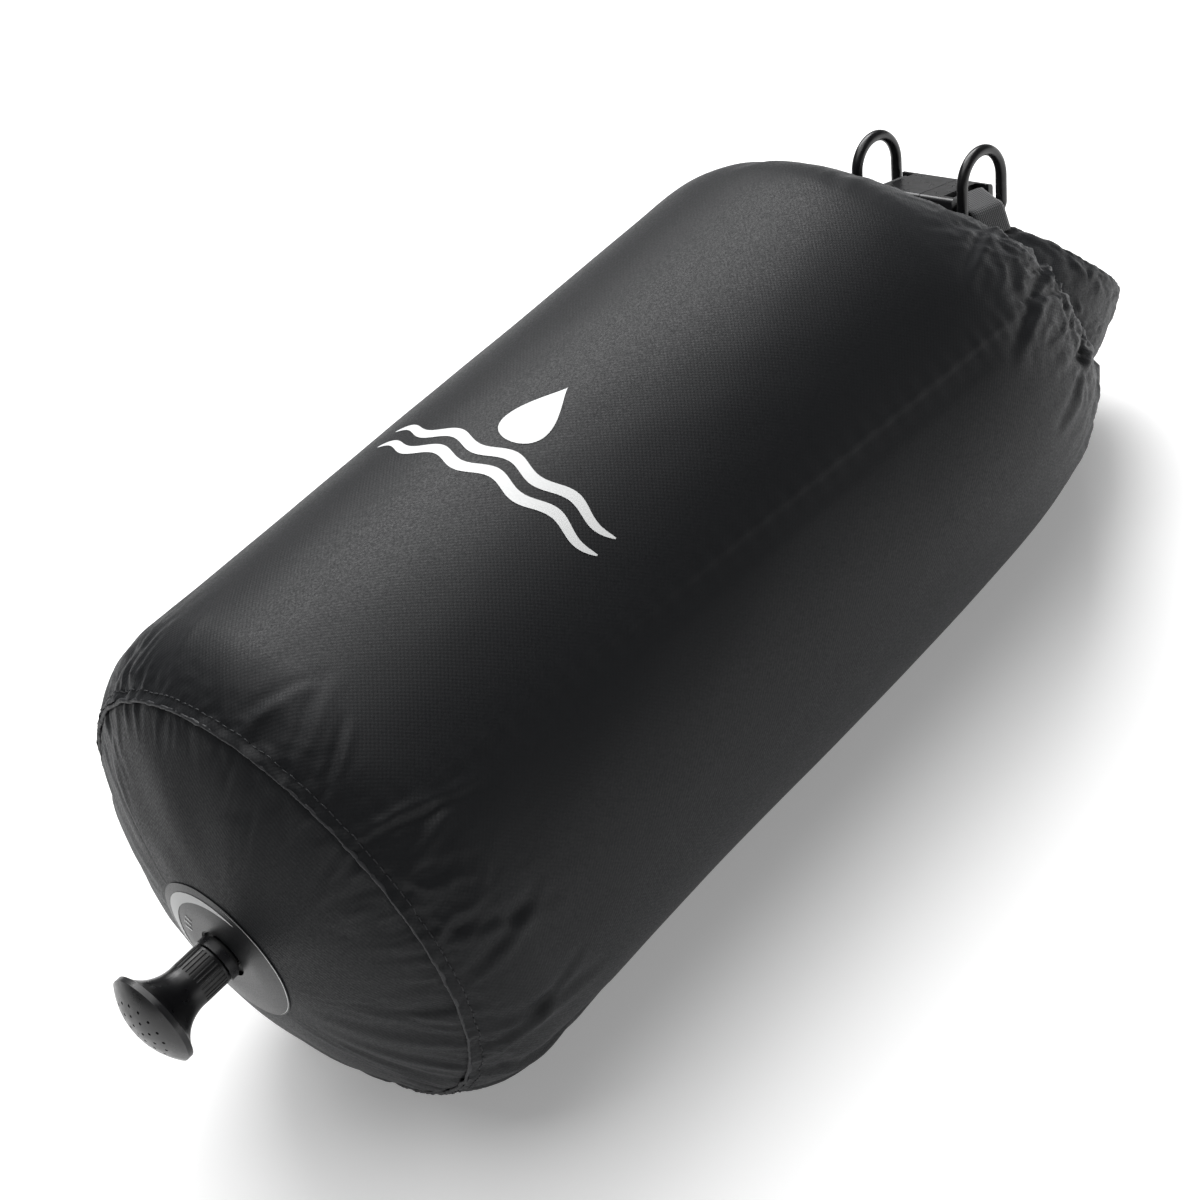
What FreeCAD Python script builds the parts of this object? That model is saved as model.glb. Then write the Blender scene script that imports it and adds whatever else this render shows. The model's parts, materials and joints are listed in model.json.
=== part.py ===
"""Portable camp shower: a roll-top dry bag lying on its back, with a twist shower rose in its base,
its rolled mouth bent into a ring by a side-release buckle, and a D-ring beside each end of the buckle.

Millimetres. +X runs along the bag from the rose to the rolled mouth, +Z is the front, which is up.
Every piece is drawn from the seam plane of the base, on the bag's axis, and then placed in the part's
frame, whose origin is the middle of the bottom of the bounding box.
"""
import FreeCAD, Part
import math
import os
import Sketcher

DIMENSIONS = {
    # fabric shell
    "bag_radius": 95.0,
    "bag_wall": 1.2,
    "seam_radius": "=bag_radius - 11.5",
    "taper_length": 27.0,
    "straight_length": 288.0,
    "rest_sag": 4.0,
    "tape_width": 18.0,
    "tape_thickness": 0.4,
    "side_seam_angle": 58.0,
    # domed base
    "base_depth": 25.4,
    "base_flat": 17.0,
    "dome_radius": 150.0,
    "patch_radius": 28.0,
    "patch_thickness": 0.5,
    "binding_width": 3.0,
    "binding_height": 1.4,
    # shoulder, as three tilted circles that end in the lid under the closure ring
    "shoulder_gap": 38.0,
    "shoulder_drop": 2.0,
    "shoulder_radius": 93.0,
    "shoulder_tilt": 11.0,
    "neck_gap": 69.0,
    "neck_drop": 5.0,
    "neck_radius": 77.0,
    "neck_tilt": 19.5,
    "lid_gap": 85.5,
    "lid_drop": 11.0,
    "lid_radius": 54.0,
    "lid_tilt": 32.0,
    # rolled mouth, bent into a ring
    "ring_gap": "=roll_width + 89",
    "ring_drop": 12.0,
    "ring_radius": 48.5,
    "ring_tilt": 37.0,
    "roll_width": 33.0,
    "roll_thickness": 8.0,
    "roll_lean": 14.0,
    "roll_open": 36.0,
    "roll_flex": 64.0,
    "stiffener_width": 22.0,
    "stiffener_thickness": 1.0,
    # valve through the base
    "spigot_radius": 6.0,
    "spigot_bore": "=spigot_radius - 1.8",
    "spigot_reach": 15.3,
    "flange_radius": 14.0,
    "flange_thickness": 1.6,
    "gasket_thickness": 1.0,
    "gasket_radius": 13.0,
    "nut_radius": "=spigot_radius + 2.4",
    "nut_thickness": 3.0,
    "nut_chamfer": 0.8,
    "stem_radius": 1.5,
    "poppet_radius": "=spigot_bore + 2.3",
    "poppet_thickness": 2.0,
    "poppet_lift": 3.0,
    "oring_section": 0.5,
    "clip_radius": "=spigot_radius + 0.6",
    "clip_thickness": 0.8,
    "running_gap": 0.08,
    # shower rose
    "grip_radius": "=clip_radius + 1.4",
    "grip_length": 11.5,
    "cavity_length": 14.0,
    "flute_radius": 0.45,
    "flute_count": 32,
    "rose_radius": 16.8,
    "rose_length": 26.2,
    "rose_wall": 1.5,
    "flare_radius": 15.3,
    "face_height": 6.4,
    "spray_hole": 0.55,
    # side-release buckle for 20 mm webbing
    "buckle_gap": 88.0,
    "buckle_drop": -37.0,
    "buckle_pitch": 17.5,
    "buckle_width": 26.0,
    "buckle_thickness": 7.6,
    "buckle_half": 21.0,
    "bar_radius": 1.6,
    "bar_offset": 19.2,
    "arm_width": 2.8,
    "fork_depth": 6.0,
    "mouth_offset": 5.0,
    "cavity_depth": 16.0,
    "cavity_half": 9.6,
    "prong_half": 1.9,
    "window_start": 5.0,
    "window_length": 7.0,
    "plug_travel": 24.0,
    "part_gap": 0.3,
    # webbing and D-rings
    "strap_width": 19.2,
    "strap_thickness": 1.3,
    "tail_length": 14.0,
    "tail_slope": 52.0,
    "dring_section": 2.2,
    "dring_inner": 20.0,
    "dring_straight": 12.5,
    "dring_corner": 2.4,
    "dring_offset": 25.5,
    "dring_drop": 4.5,
}

doc = FreeCAD.newDocument("camp_shower_bag")
Vector = FreeCAD.Vector
sheet = doc.addObject("Spreadsheet::Sheet", "dims")
for row, (alias, number) in enumerate(DIMENSIONS.items(), start=1):
    sheet.set(f"A{row}", alias)
    sheet.set(f"B{row}", str(number))
    sheet.setAlias(f"B{row}", alias)
doc.recompute()

# Where the bag's own datum lies in the part's frame: the box runs from the tip of the rose
# to the far corner at the back of the closure ring.
NOSE_REACH = ("(dims.base_depth + dims.patch_thickness + dims.gasket_thickness + dims.nut_thickness"
              " + dims.part_gap + dims.rose_length + dims.face_height)")
ROLL_REACH = ("(dims.straight_length + dims.ring_gap + dims.ring_radius * sin(dims.ring_tilt * 1 deg)"
              " + dims.roll_thickness / 2 * sin(dims.roll_lean * 1 deg))")
SEAM_X = f"(({NOSE_REACH} - {ROLL_REACH}) / 2)"
AXIS_Z = "(dims.bag_radius - dims.rest_sag)"
BUCKLE_X = f"({SEAM_X} + dims.straight_length + dims.buckle_gap)"
BUCKLE_Z = f"({AXIS_Z} - dims.buckle_drop)"

finished = []


def number(expression):
    """The value of an expression on the sheet, as a plain number."""
    result = sheet.evalExpression(str(expression))
    return float(getattr(result, "Value", result))


def place(piece, label, x=SEAM_X, y="0", z=AXIS_Z, pitch="0"):
    """Label a finished piece and bind its placement to the sheet."""
    piece.Label = label
    piece.Placement = FreeCAD.Placement(Vector(), FreeCAD.Rotation(Vector(0, 1, 0), 1.0))
    piece.setExpression("Placement.Base.x", x)
    piece.setExpression("Placement.Base.y", y)
    piece.setExpression("Placement.Base.z", z)
    piece.setExpression("Placement.Rotation.Angle", pitch)
    finished.append(piece)
    return piece


def place_on_buckle(piece, label):
    """Place a piece that is drawn in the buckle's own frame: X across, Y along, Z out."""
    return place(piece, label, x=BUCKLE_X, z=BUCKLE_Z, pitch="dims.buckle_pitch")


def new_body(name):
    """An empty PartDesign body."""
    return doc.addObject("PartDesign::Body", name)


def new_sketch(body, plane, name, shift=("0", "0", "0"), tilt=None):
    """A sketch on one of the body's origin planes, moved within that plane's frame and tilted about its X."""
    sketch = body.newObject("Sketcher::SketchObject", name)
    support = [item for item in body.Origin.OriginFeatures if item.Role == plane][0]
    sketch.AttachmentSupport = [(support, "")]
    sketch.MapMode = "FlatFace"
    if tilt is not None:
        sketch.AttachmentOffset = FreeCAD.Placement(Vector(), FreeCAD.Rotation(Vector(-1, 0, 0), 1.0))
        sketch.setExpression("AttachmentOffset.Rotation.Angle", tilt)
    for axis, expression in zip("xyz", shift):
        if expression != "0":
            sketch.setExpression(f"AttachmentOffset.Base.{axis}", expression)
    return sketch


def bind(sketch, kind, arguments, name, expression):
    """Add one dimension to a sketch and bind it to an expression."""
    index = sketch.addConstraint(Sketcher.Constraint(kind, *arguments, number(expression)))
    sketch.renameConstraint(index, name)
    sketch.setExpression(f"Constraints.{name}", expression)


def draw_outline(sketch, corners, arcs=None):
    """A closed outline. corners are (x, y) expressions; arcs maps an edge to (radius, side of its centre)."""
    arcs = arcs or {}
    points = [Vector(number(x), number(y), 0) for x, y in corners]
    count = len(points)
    ends = []
    for index, start in enumerate(points):
        stop = points[(index + 1) % count]
        if index in arcs:
            radius, side = arcs[index]
            chord = stop - start
            half = chord.Length / 2
            bulge = number(radius) - math.sqrt(number(radius) ** 2 - half ** 2)
            away = Vector(chord.y, -chord.x, 0).normalize() * (side * bulge)
            edge = sketch.addGeometry(Part.Arc(start, (start + stop) / 2 + away, stop))
            forward = sketch.getPoint(edge, 1).distanceToPoint(start) < sketch.getPoint(edge, 2).distanceToPoint(start)
            ends.append((edge, 1, 2) if forward else (edge, 2, 1))
        else:
            edge = sketch.addGeometry(Part.LineSegment(start, stop))
            ends.append((edge, 1, 2))
    for index, (edge, first, last) in enumerate(ends):
        following = ends[(index + 1) % count]
        sketch.addConstraint(Sketcher.Constraint("Coincident", edge, last, following[0], following[1]))
    for index, (x, y) in enumerate(corners):
        edge, first, last = ends[index]
        bind(sketch, "DistanceX", (-1, 1, edge, first), f"across_{index}", x)
        bind(sketch, "DistanceY", (-1, 1, edge, first), f"up_{index}", y)
    for index, (radius, side) in arcs.items():
        bind(sketch, "Radius", (ends[index][0],), f"bend_{index}", radius)


def draw_circle(sketch, x, y, radius, tag=""):
    """A full circle at (x, y)."""
    circle = Part.Circle(Vector(number(x), number(y), 0), Vector(0, 0, 1), number(radius))
    edge = sketch.addGeometry(circle)
    bind(sketch, "DistanceX", (-1, 1, edge, 3), f"centre_x{tag}", x)
    bind(sketch, "DistanceY", (-1, 1, edge, 3), f"centre_y{tag}", y)
    bind(sketch, "Radius", (edge,), f"ring{tag}", radius)


def draw_box(sketch, low, high):
    """A rectangle between two corners given as (x, y) expressions."""
    draw_outline(sketch, [low, (high[0], low[1]), high, (low[0], high[1])])


def add_feature(body, kind, name, profile, **settings):
    """A PartDesign feature on a profile; text settings are bound as expressions."""
    feature = body.newObject(f"PartDesign::{kind}", name)
    feature.Profile = profile
    for key, setting in settings.items():
        if isinstance(setting, str) and key in ("Length", "Angle"):
            feature.setExpression(key, setting)
        else:
            setattr(feature, key, setting)
    profile.Visibility = False
    return feature


def revolve(body, name, corners, arcs=None, cut=False):
    """A ring or disc about the bag's axis, from an outline of (along, radius) pairs."""
    sketch = new_sketch(body, "XZ_Plane", f"{name}_profile")
    draw_outline(sketch, corners, arcs)
    kind = "Groove" if cut else "Revolution"
    return add_feature(body, kind, name, sketch, ReferenceAxis=(sketch, ["H_Axis"]), Angle=360.0)


def pad(body, name, plane, draw, length, shift=("0", "0", "0")):
    """A pad to both sides of a plane; draw fills in its sketch."""
    sketch = new_sketch(body, plane, f"{name}_profile", shift)
    draw(sketch)
    return add_feature(body, "Pad", name, sketch, Midplane=True, Length=length)


def pocket(body, name, plane, draw, length, shift=("0", "0", "0")):
    """A pocket to both sides of a plane; the volume has to fall."""
    doc.recompute()
    before = body.Shape.Volume
    sketch = new_sketch(body, plane, f"{name}_profile", shift)
    draw(sketch)
    feature = add_feature(body, "Pocket", name, sketch, Midplane=True, Length=length)
    doc.recompute()
    if body.Shape.Volume >= before - 1e-6:
        raise RuntimeError(f"{body.Name}.{name} cuts nothing")
    return feature


def polar(body, name, features, axis_sketch, axis, count):
    """Repeat features round an axis of one of their sketches."""
    pattern = body.newObject("PartDesign::PolarPattern", name)
    pattern.Originals = features
    pattern.Axis = (axis_sketch, [axis])
    pattern.Angle = 360.0
    pattern.Occurrences = count
    body.Tip = pattern
    return pattern


# ---------------------------------------------------------------- fabric

# The tube narrows to the base seam along an arc that leaves the straight wall without a corner.
NARROWING = "(dims.bag_radius - dims.seam_radius)"
TAPER_BEND = f"((dims.taper_length ^ 2 + {NARROWING} ^ 2) / (2 * {NARROWING}))"


def bag_solid(name, inset):
    """The bag as a filled solid, every face moved in by inset: a revolved tube, a lofted shoulder, a flat to rest on."""
    body = new_body(name)
    start = ("0", f"dims.seam_radius - {inset}")
    full = f"dims.bag_radius - {inset}"
    corners = [("0", "0"), start, ("dims.taper_length", full), ("dims.straight_length", full),
               ("dims.straight_length", "0")]
    revolve(body, f"{name}_tube", corners, {1: (TAPER_BEND, -1)})
    sections = []
    for stage in ("shoulder", "neck", "lid"):
        shift = ("0", f"-dims.{stage}_drop", f"dims.straight_length + dims.{stage}_gap")
        if stage == "lid":
            shift = ("0", f"-dims.lid_drop - {inset} * sin(dims.lid_tilt * 1 deg)",
                     f"dims.straight_length + dims.lid_gap - {inset} * cos(dims.lid_tilt * 1 deg)")
        sketch = new_sketch(body, "YZ_Plane", f"{name}_{stage}", shift, tilt=f"dims.{stage}_tilt")
        draw_circle(sketch, "0", "0", f"dims.{stage}_radius - {inset}")
        sections.append(sketch)
    first = new_sketch(body, "YZ_Plane", f"{name}_top", ("0", "0", "dims.straight_length"))
    draw_circle(first, "0", "0", full)
    add_feature(body, "AdditiveLoft", f"{name}_shoulder_loft", first, Sections=sections, Ruled=False)
    depth = "dims.bag_radius"
    floor_shift = ("0", "0", f"-(dims.bag_radius - dims.rest_sag - {inset}) - {depth} / 2")
    reach = "dims.straight_length + dims.ring_gap"
    pocket(body, f"{name}_flat", "XY_Plane",
           lambda sketch: draw_box(sketch, ("-10", "-dims.bag_radius"), (reach, "dims.bag_radius")),
           depth, floor_shift)
    return body


def make_bag_tube():
    """The fabric tube with its shoulder and lid: the outer solid less the inner one, open at the base seam."""
    tube = doc.addObject("Part::Cut", "bag_tube")
    tube.Base = bag_solid("bag_outside", "0")
    tube.Tool = bag_solid("bag_inside", "dims.bag_wall")
    place(tube, "bag_tube")


# The dome is an arc from the edge of the flat middle to the seam. These are its chord and its centre.
DOME_RISE = "(dims.seam_radius - dims.base_flat)"
DOME_CHORD = f"sqrt(dims.base_depth ^ 2 + {DOME_RISE} ^ 2)"
DOME_HEIGHT = f"sqrt(dims.dome_radius ^ 2 - {DOME_CHORD} ^ 2 / 4)"
DOME_X = f"(-dims.base_depth / 2 + {DOME_HEIGHT} * {DOME_RISE} / {DOME_CHORD})"
DOME_R = f"((dims.base_flat + dims.seam_radius) / 2 - {DOME_HEIGHT} * dims.base_depth / {DOME_CHORD})"


def dome_x(radius):
    """Where the dome's outer surface lies along the axis, at a distance from the axis."""
    return f"({DOME_X} - sqrt(dims.dome_radius ^ 2 - ({radius} - {DOME_R}) ^ 2))"


def make_base_panel():
    """The round base panel: a flat middle with the valve's hole, then a dome out to the seam."""
    body = new_body("base_panel_body")
    hole = "dims.spigot_radius + dims.running_gap"
    inside = "-dims.base_depth + dims.bag_wall"
    corners = [("-dims.base_depth", hole), ("-dims.base_depth", "dims.base_flat"), ("0", "dims.seam_radius"),
               ("0", "dims.seam_radius - dims.bag_wall"), (inside, "dims.base_flat"), (inside, hole)]
    revolve(body, "panel", corners, {1: ("dims.dome_radius", -1), 3: ("dims.dome_radius - dims.bag_wall", 1)})
    place(body, "base_panel")


def make_base_patch():
    """The reinforcing patch round the valve, which lies on the panel's flat middle and the start of its dome."""
    body = new_body("base_patch_body")
    hole = "dims.spigot_radius + dims.running_gap"
    edge = dome_x("dims.patch_radius")
    top = "-dims.base_depth - dims.patch_thickness"
    corners = [("-dims.base_depth", hole), ("-dims.base_depth", "dims.base_flat"), (edge, "dims.patch_radius"),
               (f"{edge} - dims.patch_thickness", "dims.patch_radius"), (top, "dims.base_flat"), (top, hole)]
    revolve(body, "patch", corners, {1: ("dims.dome_radius", -1), 3: ("dims.dome_radius", 1)})
    place(body, "base_patch")


def make_base_seam():
    """The bound edge of the seam between the tube and the base panel."""
    body = new_body("base_seam_body")
    under = "dims.seam_radius - dims.binding_width * 1.45"
    corners = [("0", "dims.seam_radius + 0.02"), ("0", "dims.seam_radius + dims.binding_height"),
               ("-dims.binding_width", "dims.seam_radius"), ("-dims.binding_width", under)]
    revolve(body, "binding", corners)
    place(body, "base_seam")


def make_tapes():
    """The heat-sealed tapes inside: one round the base seam, one along the side seam."""
    ring = new_body("base_seam_tape_body")
    wall = "dims.bag_radius - dims.bag_wall - dims.running_gap"
    corners = [("dims.taper_length", f"{wall} - dims.tape_thickness"), ("dims.taper_length", wall),
               ("dims.taper_length + dims.tape_width", wall),
               ("dims.taper_length + dims.tape_width", f"{wall} - dims.tape_thickness")]
    revolve(ring, "ring_tape", corners)
    gap = "(dims.bag_radius - dims.rest_sag - dims.bag_wall - dims.part_gap)"
    pocket(ring, "resting_gap", "XY_Plane",
           lambda sketch: draw_box(sketch, ("0", "-dims.bag_radius"), ("dims.straight_length", "dims.bag_radius")),
           "dims.bag_radius", ("0", "0", f"-{gap} - dims.bag_radius / 2"))
    place(ring, "base_seam_tape")

    strip = new_body("side_seam_tape_body")
    start = "dims.taper_length + dims.tape_width + dims.part_gap"
    sketch = new_sketch(strip, "XZ_Plane", "strip_profile", tilt="dims.side_seam_angle")
    draw_box(sketch, (start, f"{wall} - dims.tape_thickness"), ("dims.straight_length", wall))
    angle = "dims.tape_width / dims.bag_radius * 57.3"
    add_feature(strip, "Revolution", "strip_tape", sketch, ReferenceAxis=(sketch, ["H_Axis"]), Angle=angle)
    place(strip, "side_seam_tape")


# ---------------------------------------------------------------- rolled mouth

def roll_section(turn, width, thickness, inset):
    """One rectangle across the rolled mouth, turn degrees round from the front, as a closed wire."""
    tilt = math.radians(number("dims.ring_tilt"))
    lean = math.radians(number("dims.roll_lean"))
    angle = math.radians(turn)
    radius = number("dims.ring_radius")
    middle = Vector(number("dims.straight_length + dims.ring_gap"), 0, -number("dims.ring_drop"))
    forward = Vector(-math.sin(tilt), 0, math.cos(tilt))
    sideways = Vector(0, -1, 0)
    edge = middle + forward * (radius * math.cos(angle)) + sideways * (radius * math.sin(angle))
    tangent = sideways * math.cos(angle) - forward * math.sin(angle)
    inward = Vector(0, math.sin(angle), -math.cos(angle))
    across = (Vector(1, 0, 0) * math.cos(lean) + inward * math.sin(lean)).normalize()
    outward = across.cross(tangent).normalize()
    far = edge - across * inset
    near = far - across * width
    half = outward * (thickness / 2)
    return Part.makePolygon([far + half, far - half, near - half, near + half, far + half])


def roll_stretch(start, stop, width="dims.roll_width", thickness="dims.roll_thickness", inset=0.0):
    """A stretch of the rolled mouth between two turns, in degrees."""
    steps = max(4, round((stop - start) / 24))
    turns = [start + (stop - start) * step / steps for step in range(steps + 1)]
    wires = [roll_section(turn, number(width), number(thickness), inset) for turn in turns]
    return Part.makeLoft(wires, True, False)


def in_bag_frame(piece):
    """A finished piece's solid, seen from the bag's own datum."""
    shape = piece.Shape.copy()
    datum = FreeCAD.Placement(Vector(number(SEAM_X), 0, number(AXIS_Z)), FreeCAD.Rotation())
    shape.Placement = datum.inverse().multiply(shape.Placement)
    return shape


def make_roll(straps):
    """The rolled mouth: the fixed ring, its stiffener, and the right end that bends when the buckle opens."""
    first = number("dims.roll_open")
    flex = number("dims.roll_flex")
    last = 360.0 - first
    margin = (number("dims.roll_width") - number("dims.stiffener_width")) / 2
    stiffener = roll_stretch(flex + 2.0, last - 10.0, "dims.stiffener_width", "dims.stiffener_thickness", margin)
    gap = math.degrees(number("dims.part_gap") / number("dims.ring_radius"))
    solids = {
        "roll_band": roll_stretch(flex + gap, last).cut(stiffener).cut(in_bag_frame(straps["left"])),
        "roll_stiffener": stiffener,
        "roll_end_right": roll_stretch(first, flex).cut(in_bag_frame(straps["right"])),
    }
    for label, solid in solids.items():
        piece = doc.addObject("Part::Feature", f"{label}_solid")
        largest = max(solid.Solids, key=lambda item: item.Volume)
        piece.Shape = largest
        place(piece, label)


# ---------------------------------------------------------------- valve and rose

PANEL_OUT = "(-dims.base_depth - dims.patch_thickness)"
NUT_START = f"({PANEL_OUT} - dims.gasket_thickness)"
NUT_END = f"({NUT_START} - dims.nut_thickness)"
FLANGE_OUT = "(-dims.base_depth + dims.bag_wall + dims.gasket_thickness)"
SEAT = f"({FLANGE_OUT} + dims.flange_thickness)"
SPIGOT_END = f"({PANEL_OUT} - dims.spigot_reach)"
ROSE_START = f"({NUT_END} - dims.part_gap)"
SHOULDER = f"({ROSE_START} - 9.0)"
RIM = f"({ROSE_START} - dims.rose_length)"
DRIVE_WEB = f"({SPIGOT_END} - dims.part_gap)"
DRIVE_WEB_END = f"({DRIVE_WEB} - 2.4)"
SLIP = "(dims.spigot_radius + dims.running_gap)"


def make_washer(label, start, stop, inner, outer):
    """A plain ring about the axis."""
    body = new_body(f"{label}_body")
    revolve(body, "ring", [(start, inner), (start, outer), (stop, outer), (stop, inner)])
    place(body, label)


def make_spigot():
    """The threaded spigot: flange inside the bag, tube through the base, a web that guides the stem."""
    body = new_body("valve_spigot_body")
    ring_mid = f"({SHOULDER} + 2.5)"
    clip_in = f"({SHOULDER} - dims.part_gap)"
    clip_out = f"({clip_in} - dims.clip_thickness - 0.1)"
    groove = "dims.spigot_radius - 2 * dims.oring_section"
    corners = [(SEAT, "dims.spigot_bore"), (SEAT, "dims.flange_radius"), (FLANGE_OUT, "dims.flange_radius"),
               (FLANGE_OUT, "dims.spigot_radius"),
               (f"{ring_mid} + dims.oring_section + 0.1", "dims.spigot_radius"),
               (f"{ring_mid} + dims.oring_section + 0.1", groove),
               (f"{ring_mid} - dims.oring_section - 0.1", groove),
               (f"{ring_mid} - dims.oring_section - 0.1", "dims.spigot_radius"),
               (clip_in, "dims.spigot_radius"), (clip_in, groove), (clip_out, groove),
               (clip_out, "dims.spigot_radius"), (SPIGOT_END, "dims.spigot_radius"),
               (SPIGOT_END, "dims.spigot_bore")]
    revolve(body, "tube", corners)
    web_start = f"({NUT_END} - 1)"
    bore = "dims.stem_radius + dims.running_gap"
    revolve(body, "web", [(web_start, bore), (web_start, "dims.spigot_bore + 0.2"),
                          (f"{web_start} - 2.4", "dims.spigot_bore + 0.2"), (f"{web_start} - 2.4", bore)])
    make_ports(body, web_start, "dims.spigot_bore * 0.72", "0.75", 6)
    place(body, "valve_spigot")

    ring = doc.addObject("Part::Torus", "spigot_oring_torus")
    ring.setExpression("Radius1", f"{groove} + dims.oring_section + 0.02")
    ring.setExpression("Radius2", "dims.oring_section")
    place(ring, "spigot_oring", x=f"{SEAM_X} + {ring_mid}", pitch="90")
    make_washer("rose_clip", f"{clip_in} - 0.05", f"{clip_in} - 0.05 - dims.clip_thickness",
                f"{groove} + 0.02", "dims.clip_radius")


def make_ports(body, start, radius, hole, count):
    """A circle of water ports through a web that begins at start."""
    port = pocket(body, f"port_{count}", "YZ_Plane", lambda sketch: draw_circle(sketch, "0", radius, hole),
                  "8", ("0", "0", start))
    polar(body, f"ports_{count}", [port], port.Profile[0], "N_Axis", count)


def make_poppet():
    """The valve's stem with its head, and the soft seal under the head; both lift into the bag."""
    seal_start = f"({SEAT} + 0.05)"
    head = f"({seal_start} + 1)"
    body = new_body("poppet_body")
    end = f"({DRIVE_WEB_END} - dims.poppet_lift - 0.8)"
    corners = [(end, "0"), (end, "dims.stem_radius"), (head, "dims.stem_radius"), (head, "dims.poppet_radius"),
               (f"{head} + dims.poppet_thickness", "dims.poppet_radius - 0.6"),
               (f"{head} + dims.poppet_thickness", "0")]
    revolve(body, "stem", corners)
    place(body, "poppet")
    make_washer("poppet_seal", seal_start, head, "dims.stem_radius + 0.02", "dims.poppet_radius - 0.4")


def make_rose():
    """The rose: a fluted grip that turns on the spigot and flares to the rim, with a web that drives the stem."""
    body = new_body("rose_body_body")
    grip_end = f"({ROSE_START} - dims.grip_length)"
    cavity = "(dims.clip_radius + 0.1)"
    cavity_end = f"({ROSE_START} - dims.cavity_length)"
    flare_in = "dims.flare_radius * 0.8"
    corners = [(ROSE_START, SLIP), (ROSE_START, "dims.grip_radius - 0.4"), (f"{ROSE_START} - 0.4", "dims.grip_radius"),
               (grip_end, "dims.grip_radius"), (f"{RIM} + 1.2", "dims.rose_radius"), (RIM, "dims.rose_radius"),
               (RIM, "dims.rose_radius - dims.rose_wall"), (f"{RIM} + 2", "dims.rose_radius - dims.rose_wall"),
               (cavity_end, cavity), (SHOULDER, cavity), (SHOULDER, SLIP)]
    revolve(body, "trumpet", corners, {3: ("dims.flare_radius", -1), 7: (flare_in, 1)})
    bore = "dims.stem_radius + dims.running_gap"
    revolve(body, "drive_web", [(DRIVE_WEB, bore), (DRIVE_WEB, f"{cavity} + 0.2"),
                                (DRIVE_WEB_END, f"{cavity} + 0.2"), (DRIVE_WEB_END, bore)])
    make_ports(body, DRIVE_WEB, "(dims.clip_radius + dims.stem_radius) / 2", "1.2", 6)
    flute = pocket(body, "flute", "YZ_Plane",
                   lambda sketch: draw_circle(sketch, "0", "dims.grip_radius + 0.1", "dims.flute_radius"),
                   "dims.grip_length - 2.4", ("0", "0", f"{ROSE_START} - dims.grip_length / 2"))
    polar(body, "flutes", [flute], flute.Profile[0], "N_Axis", int(number("dims.flute_count")))
    place(body, "rose_body")


def make_spray_plate():
    """The domed spray plate: a skirt that snaps into the rim, and three rings of spray holes."""
    body = new_body("spray_plate_body")
    skirt = "(dims.rose_radius - dims.rose_wall - 0.03)"
    apex = f"({RIM} - dims.face_height)"
    lip = f"({RIM} - 0.8)"
    rise = "(dims.face_height - 0.8)"
    inside = f"({skirt} - 1.2)"
    corners = [(f"{RIM} + 1.8", inside), (f"{RIM} + 1.8", skirt), (RIM, skirt), (RIM, "dims.rose_radius"),
               (lip, "dims.rose_radius"), (apex, "0"), (f"{apex} + dims.rose_wall", "0"),
               (f"{lip} + dims.rose_wall", inside)]
    outer_bend = f"((dims.rose_radius ^ 2 + {rise} ^ 2) / (2 * {rise}))"
    inner_bend = f"(({inside} ^ 2 + {rise} ^ 2) / (2 * {rise}))"
    revolve(body, "face", corners, {4: (outer_bend, 1), 6: (inner_bend, -1)})
    for ring, (radius, count) in enumerate(((3.4, 5), (7.0, 10), (10.6, 15))):
        hole = pocket(body, f"spray_{ring}", "YZ_Plane",
                      lambda sketch: draw_circle(sketch, "0", str(radius), "dims.spray_hole"),
                      "16", ("0", "0", apex))
        polar(body, f"spray_ring_{ring}", [hole], hole.Profile[0], "N_Axis", count)
    place(body, "spray_plate")


# ---------------------------------------------------------------- buckle, webbing, D-rings

HALF_WIDTH = "dims.buckle_width / 2"
FORK_HALF = f"({HALF_WIDTH} - dims.arm_width)"


def buckle_end(body, side, mouth):
    """One half of the buckle from its mouth to a fork that holds the strap's round bar."""
    low, high = sorted((mouth, f"{side} * dims.buckle_half"), key=number)
    pad(body, "shell", "XY_Plane",
        lambda sketch: draw_box(sketch, (f"-{HALF_WIDTH}", low), (HALF_WIDTH, high)), "dims.buckle_thickness")
    doc.recompute()
    corner_edges = [f"Edge{index}" for index, edge in enumerate(body.Shape.Edges, start=1)
                    if abs(edge.BoundBox.XLength) < 1e-6 and abs(edge.BoundBox.ZLength) < 1e-6]
    shell = body.Tip
    bevel = body.newObject("PartDesign::Fillet", "long_edges")
    bevel.Base = (shell, corner_edges)
    bevel.Radius = 1.6
    fork = f"{side} * (dims.buckle_half - dims.fork_depth)"
    outside = f"{side} * (dims.buckle_half + 1)"
    low, high = sorted((fork, outside), key=number)
    pocket(body, "fork", "XY_Plane",
           lambda sketch: draw_box(sketch, (f"-{FORK_HALF}", low), (FORK_HALF, high)), "dims.buckle_thickness + 2")
    pad(body, "bar", "YZ_Plane",
        lambda sketch: draw_circle(sketch, f"{side} * dims.bar_offset", "0", "dims.bar_radius"),
        f"2 * {FORK_HALF} + 1")


def make_socket():
    """The female half: hollow from its mouth, with a window in each side for a prong's button."""
    body = new_body("buckle_socket_body")
    mouth = "-dims.mouth_offset"
    buckle_end(body, 1, mouth)
    middle = f"({mouth} + dims.cavity_depth / 2)"
    pocket(body, "cavity", "XY_Plane",
           lambda sketch: draw_box(sketch, ("-dims.cavity_half", f"{mouth} - 1"),
                                   ("dims.cavity_half", f"{mouth} + dims.cavity_depth")),
           "2 * (dims.prong_half + dims.part_gap)")
    start = f"({mouth} + dims.window_start)"
    pocket(body, "windows", "XY_Plane",
           lambda sketch: draw_box(sketch, (f"-{HALF_WIDTH} - 1", start),
                                   (f"{HALF_WIDTH} + 1", f"{start} + dims.window_length")),
           "2 * (dims.prong_half + dims.part_gap)")
    place_on_buckle(body, "buckle_socket")


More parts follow.
